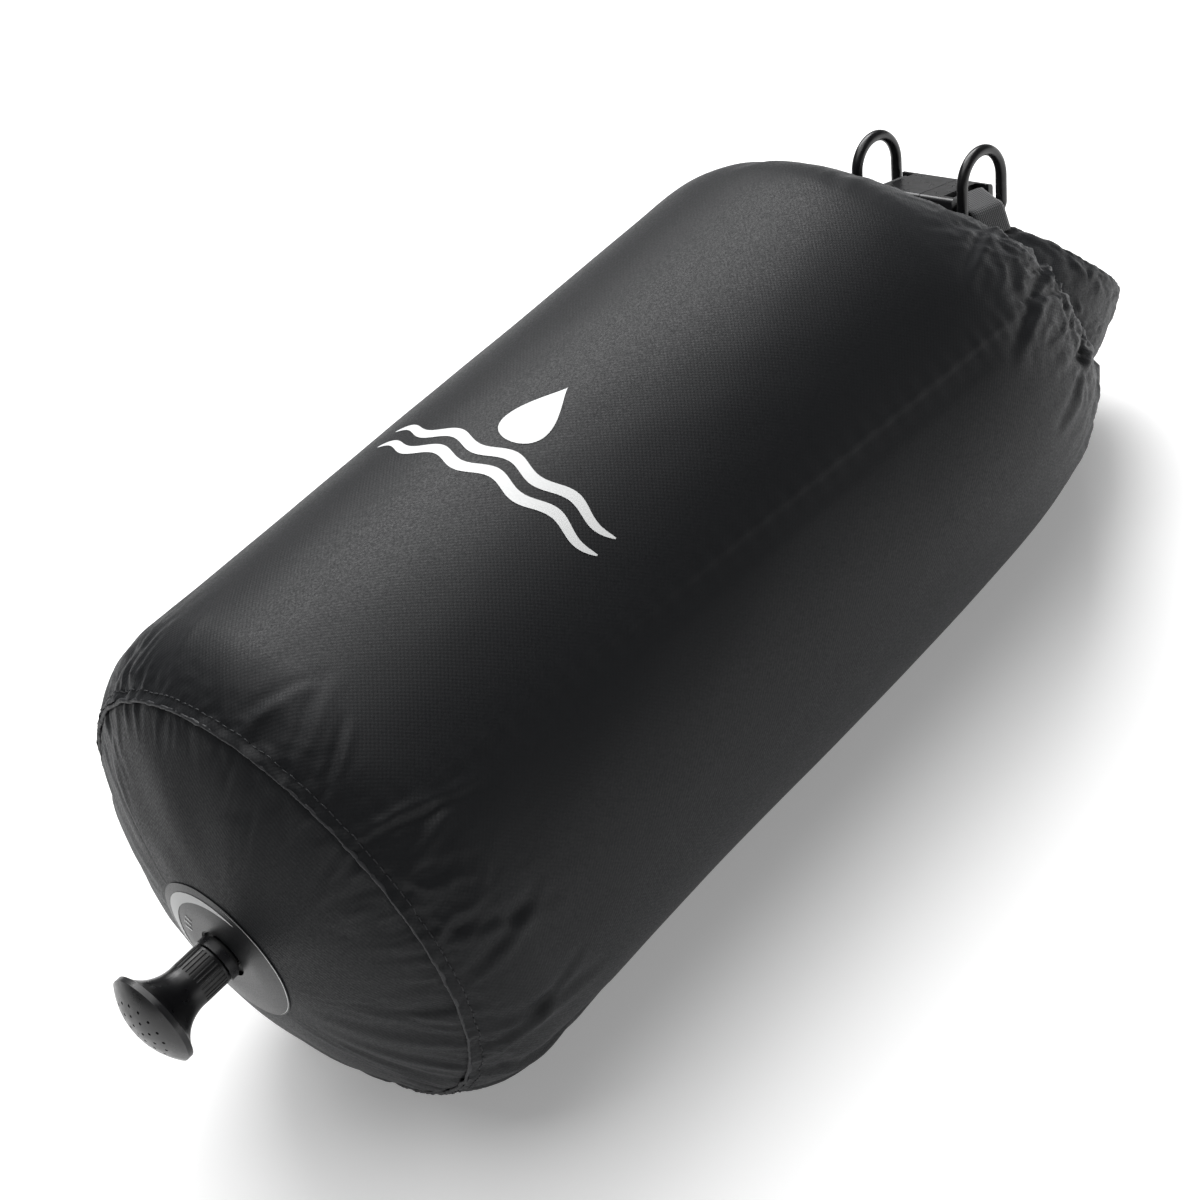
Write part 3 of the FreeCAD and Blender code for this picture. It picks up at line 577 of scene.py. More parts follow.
@dataclass(frozen=True)
class Crease:
    """One long crease: where it runs, in degrees from the front and millimetres from the seam."""

    angle: float
    start: float
    stop: float
    lean: float
    width: float
    depth: float

    def height(self, degrees: Array, along: Array, radius: float) -> Array:
        """A ridge with a hollow beside it, fading at both ends.

        Args:
            degrees: angle of each point from the front.
            along: millimetres from the seam of each point.
            radius: the bag's radius in millimetres.

        Returns:
            The crease's height in millimetres.
        """
        t = (along - self.start) / (self.stop - self.start)
        middle = self.angle + self.lean * t
        across = np.radians(off_by(degrees, middle)) * radius / self.width
        fade = np.clip(1 - np.abs(2 * t - 1), 0, 1) ** 0.7
        return self.depth * fade * (np.exp(-across ** 2) - 0.75 * np.exp(-(across - 1.5) ** 2))


@dataclass
class FabricShell:
    """The inflated envelope: tube, shoulder and the lid of fabric that closes the mouth inside the ring."""

    form: BagForm
    # each crease: angle, start, stop, lean, width and depth
    creases: tuple = (
        (-62, -2, 46, 12, 3.2, 1.5), (-50, -2, 34, 6, 2.6, 1.2), (-75, -2, 60, 16, 4.0, 1.6),
        (-40, 0, 26, -5, 2.2, 0.8), (-27, 0, 30, 8, 2.6, 0.7), (-8, 1, 38, -7, 3.4, 0.6), (14, 0, 30, 9, 2.8, 0.7),
        (31, 0, 34, -8, 2.8, 0.7), (49, -2, 44, 9, 2.2, -1.5), (41, 0, 26, -9, 2.0, 1.0), (60, 0, 36, -6, 2.6, 0.9),
        (74, -1, 44, 12, 3.2, 1.1), (88, -1, 40, -9, 3.0, 1.2), (101, -2, 52, 10, 3.6, 1.5),
        (112, -2, 44, -12, 3.0, 1.5), (122, -2, 60, 10, 4.2, 1.8), (140, -2, 48, -9, 3.4, 1.4),
        (168, -2, 52, 9, 4.2, 1.4), (205, -2, 48, -10, 3.8, 1.4), (232, -2, 44, 9, 3.4, 1.4),
        (262, -2, 50, -11, 3.6, 1.5))
    shoulder_creases: tuple = (
        (38, 318, 372, 10, 3.0, 1.0), (52, 306, 376, -12, 2.6, 1.4), (62, 320, 380, 14, 2.4, 1.8),
        (72, 300, 382, -16, 3.4, 2.0), (84, 322, 384, 12, 2.6, 1.9), (96, 310, 384, -14, 3.2, 1.6),
        (112, 318, 388, 16, 3.8, 1.7), (131, 312, 386, -12, 4.2, 1.6), (152, 320, 390, 12, 4.0, 1.5),
        (176, 306, 390, -10, 4.6, 1.6), (203, 318, 390, 14, 4.0, 1.6), (229, 308, 386, -12, 3.6, 1.6),
        (252, 316, 384, 12, 3.4, 1.5), (277, 308, 380, -14, 3.4, 1.4), (299, 316, 376, 10, 3.0, 1.2),
        (-12, 300, 352, 6, 4.0, 0.5), (16, 306, 360, -5, 3.6, 0.6), (-35, 306, 362, 6, 3.4, 0.8))

    def seam_angle(self, along: Array) -> Array:
        """The side seam's angle from the front, in degrees, which drifts as the bag twists a little."""
        return 51 + 15 * np.clip(along / 320, 0, 1)

    def relief(self, points: Array, rows: Array, distance: Array) -> Array:
        """Height of every crease, pucker and seam over the smooth form, in millimetres.

        Args:
            points: the smooth form's points.
            rows: the form's sections.
            distance: each row's distance along the fabric, in metres.

        Returns:
            Heights with shape (rows, columns).
        """
        degrees = np.degrees(self.form.angles)[None, :]
        turn = self.form.angles[None, :]
        along = np.broadcast_to(rows[:, 0][:, None], (len(rows), self.form.columns))
        travel = distance[:, None]
        radius = self.form.radius
        strength = 0.55 + 0.45 * np.tanh(ripples(3, turn, travel * 0, (3, 9), count=6))
        reach = 17 + 11 * ripples(4, turn, travel * 0, (2, 11), count=8)
        near = np.exp(-(along / np.clip(reach, 8, 40)) ** 1.6)
        height = 1.7 * (puffs(points, (19, 8.5, 8.5), 1.0) - 0.45) * near * strength
        height += 0.7 * (puffs(points, (8, 3.6, 3.6), 2.0) - 0.45) * np.exp(-(along / 9.0) ** 1.5)
        height -= 0.9 * np.exp(-(along / 1.3) ** 2)
        for share, creases in ((0.75, self.creases), (0.8, self.shoulder_creases)):
            for crease in creases:
                height += share * Crease(*crease).height(degrees, along, radius)
        height += 0.35 * ripples(21, turn, travel, (2, 7), (120, 500)) * np.clip(along / 60, 0, 1)
        height += 0.05 * ripples(22, turn, travel, (8, 30), (30, 140))
        height += self.shoulder_relief(points, turn, degrees, along, travel)
        height += self.side_seam_relief(degrees, along, travel)
        closing = np.clip(rows[:, 2] / 30, 0, 1)[:, None]
        return height * closing

    def shoulder_relief(self, points: Array, turn: Array, degrees: Array, along: Array,
                        travel: Array) -> Array:
        """Gathers that run into the rolled mouth, crumpled most at its two sides and smoothest at the front."""
        rise = np.clip((along - (self.form.straight + 18)) / 58, 0, 1) ** 1.3
        front = np.exp(-off_by(degrees, 0) ** 2 / (2 * 34.0 ** 2))
        right = np.exp(-off_by(degrees, 66) ** 2 / (2 * 20.0 ** 2))
        gathers = ripples(31, turn, travel, (26, 58), (90, 300))
        crumple = puffs(points, (13, 8, 9), 3.0, 1.1) - 0.45
        shards = puffs(points, (6, 4.5, 5), 4.0, 1.3) - 0.45
        tight = ripples(33, turn, travel, (60, 110), (120, 400))
        relief = (0.5 * gathers * (1 - 0.8 * front) + crumple * (1.1 + 2.4 * right) * (1 - 0.85 * front)
                  + shards * (0.35 + 0.9 * right) * (1 - 0.8 * front) + 0.16 * tight * front)
        return relief * rise

    def side_seam_relief(self, degrees: Array, along: Array, travel: Array) -> Array:
        """The felled side seam: a low step, a stitched groove and short puckers beside it."""
        across = np.radians(off_by(degrees, self.seam_angle(along))) * self.form.radius
        step = 0.28 / (1 + np.exp(-across / 0.6)) * np.exp(-(np.clip(across, 0, None) / 9.0) ** 6)
        groove = -0.25 * np.exp(-(across / 0.7) ** 2)
        pucker = 0.16 * np.sin(2 * math.pi * travel / (9 * MM)) * np.exp(-(across / 6.0) ** 2)
        return (step + groove + pucker) * (along < self.form.straight + 70)

    def build(self) -> Piece:
        """Make the envelope's mesh.

        Returns:
            The shell object, not yet dressed.
        """
        points, distance = self.form.surface()
        rows = self.form.sections()
        normals = grid_normals(points, True)
        points = points + normals * (self.relief(points, rows, distance) * MM)[..., None]
        points = self.form.laid_down(points)
        faces = grid_faces(len(points), self.form.columns, True)
        top = (len(points) - 1) * self.form.columns
        faces.append(tuple(top + c for c in range(self.form.columns)))
        return make_mesh("fabric_shell", points, faces)


@dataclass
class BasePanel:
    """The round base panel, domed by the water, with puckers at its seam and a printed patch round the valve."""

    form: BagForm
    rows: int = 70
    bulge_radius: float = 150.0

    def radii(self) -> Array:
        """Distances from the axis of the panel's rows, from the valve to the seam."""
        hole = 9.0
        return hole + (self.form.seam_radius - hole) * np.linspace(0, 1, self.rows) ** 0.85

    def depth(self, radius: Array) -> Array:
        """How far out of the seam plane the dome stands at a distance from the axis."""
        flat, seam, deep = self.form.base_flat, self.form.seam_radius, self.form.base_depth
        rise = seam - flat
        chord = math.hypot(deep, rise)
        height = math.sqrt(self.bulge_radius ** 2 - chord ** 2 / 4)
        centre_x = -deep / 2 + height * rise / chord
        centre_r = (flat + seam) / 2 - height * deep / chord
        dome = np.sqrt(self.bulge_radius ** 2 - (np.maximum(radius, flat) - centre_r) ** 2) - centre_x
        return np.minimum(dome, deep)

    def build(self) -> Piece:
        """Make the panel's mesh."""
        radii = self.radii()[:, None]
        turn = self.form.angles[None, :]
        travel = radii * MM
        smooth = np.empty((self.rows, self.form.columns, 3))
        smooth[..., 0] = -radii / 2.6
        smooth[..., 1] = -self.form.seam_radius * np.sin(turn)
        smooth[..., 2] = self.form.seam_radius * np.cos(turn)
        smooth *= MM
        inward = self.form.seam_radius - radii
        reach = np.clip(12 + 9 * ripples(44, turn, travel * 0, (2, 13), count=8), 6, 30)
        relief = 1.5 * (puffs(smooth, (9, 7.5, 7.5), 5.0) - 0.45) * np.exp(-(inward / reach) ** 1.6)
        relief += 0.6 * (puffs(smooth, (4, 3.2, 3.2), 6.0) - 0.45) * np.exp(-(inward / 8.0) ** 1.5)
        relief -= 0.9 * np.exp(-(inward / 1.3) ** 2)
        swell = ripples(43, turn, travel, (3, 12), (40, 120))
        relief += 0.22 * swell * np.clip((radii - 20) / 20, 0, 1)
        degrees = np.degrees(turn)
        for angle, reach, width, deep in ((-64, 60, 3.2, 1.6), (-52, 44, 2.6, 1.3), (-78, 66, 3.6, 1.5),
                                          (-36, 26, 2.4, 0.8), (51, 30, 2.2, 1.2), (98, 40, 3.0, 1.2),
                                          (110, 54, 3.4, 1.4), (122, 46, 3.0, 1.6), (136, 58, 3.8, 1.5),
                                          (170, 50, 3.6, 1.3), (214, 46, 3.4, 1.3), (250, 52, 3.6, 1.3)):
            share = inward / reach
            across = np.radians(off_by(degrees - 8 * share, angle)) * radii / width
            fold = np.exp(-across ** 2) - 0.7 * np.exp(-(across + 1.5) ** 2)
            relief += 0.7 * deep * np.clip(1 - share, 0, 1) * fold
        points = np.empty((self.rows, self.form.columns, 3))
        points[..., 0] = -(self.depth(radii) + relief * np.clip((radii - 24) / 10, 0, 1) * 0.9)
        points[..., 1] = -radii * np.sin(turn)
        points[..., 2] = radii * np.cos(turn)
        placed = self.form.laid_down(self.form.placed(points))
        faces = [tuple(reversed(face)) for face in grid_faces(self.rows, self.form.columns, True)]
        return make_mesh("base_panel_fabric", placed, faces)


class Surface:
    """A finished fabric surface that prints, stitches and the valve patch are laid on."""

    def __init__(self, piece: Piece, form: BagForm) -> None:
        """Index the piece's mesh for ray casts."""
        mesh = piece.data
        self.form = form
        self.tree = BVHTree.FromPolygons([v.co for v in mesh.vertices], [p.vertices for p in mesh.polygons])

    def on_tube(self, degrees: float, along_mm: float, lift_mm: float) -> Vector:
        """The point on the tube at an angle from the front and a distance from the seam.

        Args:
            degrees: angle from the front, turning towards -Y.
            along_mm: distance from the base seam.
            lift_mm: how far above the fabric.

        Returns:
            The point in the frame, in metres.
        """
        turn = math.radians(degrees + 0.011)
        start = Vector((self.form.seam_x + (along_mm + 0.013) * MM, 0, self.form.axis_z))
        out = Vector((0, -math.sin(turn), math.cos(turn)))
        spot = self.tree.ray_cast(start, out)[0] or start + out * self.form.radius * MM
        return spot + out * lift_mm * MM

    def on_base(self, y_mm: float, z_mm: float, lift_mm: float) -> Vector:
        """The point on the base dome at an offset from the axis, in millimetres."""
        least = 9.2 / max(math.hypot(y_mm, z_mm), 1e-6)
        grow = max(1.0, least)
        start = Vector((self.form.seam_x - 0.2, (y_mm * grow + 0.013) * MM,
                        self.form.axis_z + (z_mm * grow + 0.017) * MM))
        spot = self.tree.ray_cast(start, Vector((1, 0, 0)))[0] or self.tree.find_nearest(
            Vector((self.form.seam_x - 0.02, start.y, start.z)))[0]
        return Vector((spot.x - lift_mm * MM, y_mm * MM, self.form.axis_z + z_mm * MM))


def printed_fan(outline: Array, middle: Array, place: Callable[[float, float], Vector]) -> Skin:
    """A thin printed shape laid on a surface, drawn as rings about its middle.

    Args:
        outline: the shape's corners in its own plane, in millimetres.
        middle: a point that sees the whole outline.
        place: turns a point of that plane into a point on the surface.

    Returns:
        The points and the faces.
    """
    rings = 9
    flat = [middle + (outline - middle) * share for share in np.linspace(0.02, 1, rings)]
    points = np.array([place(float(x), float(y)) for ring in flat for x, y in ring])
    faces = grid_faces(rings, len(outline), True)
    return points, faces + [tuple(range(len(outline)))[::-1]]


def printed_wave(base: float, length: float, high: float,
                 place: Callable[[float, float], Vector]) -> Skin:
    """A printed wavy line, thinner towards its ends.

    Args:
        base: its height in the print, in millimetres.
        length: its length round the bag.
        high: its thickness at the middle.
        place: turns a point of the print's plane into a point on the surface.

    Returns:
        The points and the faces.
    """
    columns, rows = 120, 4
    points = []
    for row in np.linspace(-0.5, 0.5, rows):
        for x in np.linspace(-length / 2, length / 2, columns):
            taper = math.sqrt(max(0.02, 1 - (2 * x / length) ** 4))
            points.append(place(float(x), base + 1.7 * math.sin(2 * math.pi * x / 26) + row * high * taper))
    return np.array(points), [tuple(reversed(face)) for face in grid_faces(rows, columns, False)]


# ---- the closure ring

@dataclass
class ClosureRing:
    """The rolled mouth: a flat roll of fabric bent round into a ring, its ends held by the buckle's straps."""

    form: BagForm
    gap: float = 122.0
    drop: float = 12.0
    radius: float = 48.5
    tilt: float = 37.0
    width: float = 33.0
    thickness: float = 8.0
    lean: float = 14.0
    open_from: float = 22.0
    neck: float = 12.0
    corners: int = 56

    def frame_at(self, turn: Array) -> tuple[Array, Array, Array]:
        """The roll's far edge, and its directions across and outward, at turns from the front.

        Args:
            turn: angles in radians, turning towards -Y.

        Returns:
            Points of the far edge in millimetres from the bag's datum, and unit vectors across and outward.
        """
        tilt, lean = math.radians(self.tilt), math.radians(self.lean)
        forward = np.array((-math.sin(tilt), 0, math.cos(tilt)))
        sideways = np.array((0.0, -1.0, 0.0))
        middle = np.array((self.form.straight + self.gap, 0, -self.drop))
        cos, sin = np.cos(turn)[:, None], np.sin(turn)[:, None]
        edge = middle + self.radius * (cos * forward + sin * sideways)
        tangent = sideways * cos - forward * sin
        inward = np.concatenate([0 * sin, sin, -cos], axis=1)
        across = np.array((1.0, 0, 0)) * math.cos(lean) + inward * math.sin(lean)
        across /= np.linalg.norm(across, axis=1, keepdims=True)
        outward = np.cross(across, tangent)
        outward /= np.linalg.norm(outward, axis=1, keepdims=True)
        return edge, across, outward

    def section(self) -> Array:
        """The roll's section as (across, outward) pairs: a flattened roll with one turn of fabric showing."""
        turn = np.linspace(0, 2 * math.pi, self.corners, endpoint=False)
        cos, sin = np.cos(turn), np.sin(turn)
        wide = np.sign(cos) * np.abs(cos) ** 0.6 * self.width / 2
        pinch = 1 - 0.62 * ((1 + wide / self.width * 2) / 2) ** 1.4
        high = np.sign(sin) * np.abs(sin) ** 0.8 * self.thickness / 2 * pinch
        return np.stack([wide, high], axis=1)

    def stretch(self, name: str, start: float, stop: float, steps: int) -> Piece:
        """One stretch of the roll between two turns, in degrees.

        Args:
            name: the piece's name.
            start: where it begins.
            stop: where it ends.
            steps: rings of points along it.

        Returns:
            The stretch's mesh object.
        """
        turn = np.radians(np.linspace(start, stop, steps))
        edge, across, outward = self.frame_at(turn)
        profile = self.section()
        crease = ripples(51, turn[:, None], profile[None, :, 0] * MM, (16, 44), (60, 160))
        fine = ripples(52, turn[:, None], profile[None, :, 0] * MM, (40, 90), (24, 80))
        soft = 1 - 0.55 * (profile[:, 0] / (self.width / 2))[None, :] ** 2
        relief = (0.32 * crease * soft + 0.1 * fine)
        wander = 0.5 * np.sin(3 * turn + 0.6) + 0.35 * np.sin(7 * turn + 2.0)
        middle = edge - across * (self.width / 2) + across * wander[:, None]
        at_edge = np.abs(profile[:, 0]) > self.width * 0.44
        layers = 0.35 * np.cos(profile[:, 1] / self.thickness * 2 * math.pi * 3) * at_edge
        reach = self.neck * ((1 - np.cos(turn)) / 2)[:, None] ** 1.5 * (0.5 - profile[:, 0] / self.width)[None, :]
        wide = profile[None, :, 0] + layers[None, :] - reach
        length = np.hypot(*profile.T)
        scale = 1 + relief / length[None, :]
        points = (middle[:, None] + wide[..., None] * across[:, None]
                  + (profile[None, :, 1] * scale)[..., None] * outward[:, None]
                  + (relief * 0.6)[..., None] * outward[:, None])
        ends = np.minimum(np.degrees(turn) - self.open_from, 360 - self.open_from - np.degrees(turn))
        shut = 0.55 + 0.45 * np.sqrt(np.clip(ends / 9, 0, 1))
        points = middle[:, None] + (points - middle[:, None]) * shut[:, None, None]
        placed = self.form.placed(points)
        folds = puffs(placed, (9, 8, 8), 7.0, 1.2) - 0.45 + 0.4 * (puffs(placed, (4, 3.5, 3.5), 8.0, 1.2) - 0.45)
        placed = placed + outward[:, None] * (folds * 0.9 * MM * np.sign(profile[:, 1])[None, :])[..., None]
        faces = [tuple(reversed(face)) for face in grid_faces(steps, self.corners, True)]
        faces.append(tuple(range(self.corners)))
        faces.append(tuple((steps - 1) * self.corners + c for c in reversed(range(self.corners))))
        return make_mesh(name, placed.reshape(-1, 3), faces)


# ---- webbing

@dataclass
class Strap:
    """A short doubled strap: round the buckle's bar, over the D-ring's bar and down into the roll."""

    side: int
    width: float = 19.0
    thickness: float = 1.3
    bar: tuple = (19.2, 0.0, 1.6)
    ring: tuple = (25.5, -4.5, 2.2)
    tail: float = 9.0
    slope: float = 70.0
    gap: float = 0.35

    def round_rod(self, rod: tuple, turns: Array) -> list[tuple[float, float]]:
        """The strap's middle line round a rod, given as (along, out, radius), at angles in radians."""
        along, out, radius = rod
        reach = radius + (self.gap + self.thickness / 2)
        return [(along + reach * math.cos(turn), out + reach * math.sin(turn)) for turn in turns]

    def centre_line(self) -> Array:
        """The strap's middle line in the buckle's own (along, out) plane, in millimetres."""
        fall = math.radians(self.slope)
        points = self.round_rod(self.bar, np.radians(np.linspace(-100, -250, 16)))
        points += self.round_rod(self.ring, np.linspace(math.radians(90), math.radians(90) - fall, 14))
        start = np.array(points[-1])
        end = start + self.tail * np.array((math.cos(fall), -math.sin(fall)))
        return np.array(points + [tuple(start + (end - start) * t) for t in np.linspace(0.1, 1, 12)])

    def under_line(self) -> Array:
        """The lower layer, from the buckle's bar under the D-ring's bar and down beside the upper layer."""
        bar_along, bar_out, bar_rod = self.bar
        points = [(bar_along - 1.0, bar_out - bar_rod - self.gap - self.thickness / 2)]
        points += self.round_rod(self.ring, np.linspace(math.radians(-110), math.radians(-58), 10))
        fall = math.radians(self.slope)
        inside = np.array((-math.sin(fall), -math.cos(fall))) * (self.thickness * 1.02)
        return np.concatenate([np.array(points), self.centre_line()[-10:] + inside])

    def ribbon(self, line: Array, origin: Vector, axes: Sequence[Vector]) -> tuple[Array, list, Array]:
        """A flat strap along a line, with rounded selvedges.

        Args:
            line: the middle line, as (along, out) pairs in millimetres.
            origin: the buckle's centre.
            axes: the buckle's directions across, along and out.

        Returns:
            Points, faces and a UV pair for each point, in metres.
        """
        step = np.gradient(line, axis=0)
        step /= np.linalg.norm(step, axis=1, keepdims=True)
        out = np.stack([-step[:, 1], step[:, 0]], axis=1)
        travel = np.concatenate([[0], np.cumsum(np.linalg.norm(np.diff(line, axis=0), axis=1))])
        half, thick = self.width / 2, self.thickness / 2
        spread = np.linspace(-half, half, 13)
        section = [(x, face * thick * (1 - 0.55 * (abs(x) / half) ** 10))
                   for face, row in ((1, spread), (-1, spread[::-1])) for x in row]
        across, along, up = (np.array(axis) for axis in axes)
        points, uvs = [], []
        for index, (spot, lift) in enumerate(zip(line, out)):
            for x, t in section:
                flat = spot + lift * t
                points.append(np.array(origin) + MM * (across * x + along * (flat[0] * self.side) + up * flat[1]))
                uvs.append((travel[index] * MM, x * MM))
        count = len(section)
        faces = grid_faces(len(line), count, True)
        faces += [tuple(range(count))[::-1], tuple((len(line) - 1) * count + c for c in range(count))]
        if self.side < 0:
            faces = [tuple(reversed(face)) for face in faces]
        return np.array(points), faces, np.array(uvs)

    def build(self, name: str, origin: Vector, axes: Sequence[Vector]) -> Piece:
        """Make the strap's mesh, with a UV map along and across it."""
        upper = self.ribbon(self.centre_line(), origin, axes)
        lower = self.ribbon(self.under_line(), origin, axes)
        points, faces = joined([upper[:2], lower[:2]])
        uvs = np.concatenate([upper[2], lower[2]])
        piece = make_mesh(name, points, faces)
        layer = piece.data.uv_layers.new(name="strap")
        for loop in piece.data.loops:
            layer.data[loop.index].uv = uvs[loop.vertex_index]
        return piece


# ---- studio

@dataclass
class Studio:
    """A plain pale floor, soft lights and the camera, in metres and degrees."""

    eye: tuple = (-0.42725, -0.56953, 0.5869)
    toward: tuple = (0.4678, 0.6666, -0.5803)
    roll: float = 20.95
    lens: float = 72.0
    floor_radius: float = 1.8

    def camera(self) -> None:
        """Set up the camera from its place, its direction and its roll."""
        data = bpy.data.cameras.new("camera")
        data.lens = self.lens
        data.sensor_width = 36.0
        data.clip_start = 0.01
        camera = bpy.data.objects.new("camera", data)
        bpy.context.scene.collection.objects.link(camera)
        ahead = Vector(self.toward).normalized()
        level = ahead.cross(Vector((0, 0, 1))).normalized()
        raised = level.cross(ahead)
        turn = math.radians(self.roll)
        right = level * math.cos(turn) - raised * math.sin(turn)
        up = level * math.sin(turn) + raised * math.cos(turn)
        camera.matrix_world = Matrix.Translation(self.eye) @ Matrix((right, up, -ahead)).transposed().to_4x4()
        bpy.context.scene.camera = camera

    def light(self, name: str, place: Sequence[float], aim: Sequence[float], size: tuple[float, float],
              power: float) -> None:
        """Add one soft box.

        Args:
            name: the light's name.
            place: where it stands.
            aim: the point it faces.
            size: its width and height in metres.
            power: its power in watts.
        """
        data = bpy.data.lights.new(name, "AREA")
        data.shape = "RECTANGLE"
        data.size, data.size_y = size
        data.energy = power
        lamp = bpy.data.objects.new(name, data)
        bpy.context.scene.collection.objects.link(lamp)
        lamp.location = place
        lamp.rotation_euler = (Vector(aim) - Vector(place)).to_track_quat("-Z", "Y").to_euler()

    def paper(self) -> bpy.types.Material:
        """Seamless white paper with a painted glow, though it is no lamp: faint near the middle and stronger towards
        its rim, so that it stays pale all over; the glow also lights the bag from below.
        """
        paper = PlainFinish("studio_paper", "#F6F6F6", 0.9, 1.2, 0.02, variation=0.01).material()
        shader = next(node for node in paper.node_tree.nodes if node.type == "BSDF_PRINCIPLED")
        shader.inputs["Emission Color"].default_value = (1, 1, 1, 1)
        tree = paper.node_tree
        place = add_node(tree, "TexCoord")
        distance = add_node(tree, "VectorMath", {0: place.outputs["Object"]}, operation="LENGTH")
        # Painted glow: the emission grows with distance from the middle of the floor.
        painted_glow = add_node(tree, "MapRange", {0: distance.outputs["Value"], 1: 0.85, 2: 1.6, 3: 0.27, 4: 0.95})
        tree.links.new(painted_glow.outputs[0], shader.inputs["Emission Strength"])
        return paper

    def build(self) -> None:
        """Make the floor, the world, the lights and the camera."""
        turn = np.linspace(0, 2 * math.pi, 128, endpoint=False)
        rim = np.stack([np.cos(turn), np.sin(turn), 0 * turn], axis=1) * self.floor_radius
        floor = make_mesh("floor", rim, [tuple(range(len(turn)))])
        floor.location.z = -0.4 * MM
        floor.data.materials.append(self.paper())
        world = bpy.data.worlds.new("studio")
        bpy.context.scene.world = world
        world.use_nodes = True
        sky = world.node_tree.nodes["Background"]
        sky.inputs[0].default_value = (1, 1, 1, 1)
        seen = add_node(world.node_tree, "LightPath")
        level = add_node(world.node_tree, "MapRange", {0: seen.outputs["Is Camera Ray"], 3: 0.12, 4: 1.0})
        world.node_tree.links.new(level.outputs[0], sky.inputs[1])
        bpy.context.scene.view_settings.view_transform = "Standard"
        self.light("back_box", (0.7, 0.7, 1.25), (0.0, 0.0, 0.1), (1.3, 0.8), 27.0)
        self.light("top_box", (-0.1, 0.1, 1.9), (0.0, 0.0, 0.0), (1.8, 1.8), 25.0)
        self.camera()


# ---- the whole bag

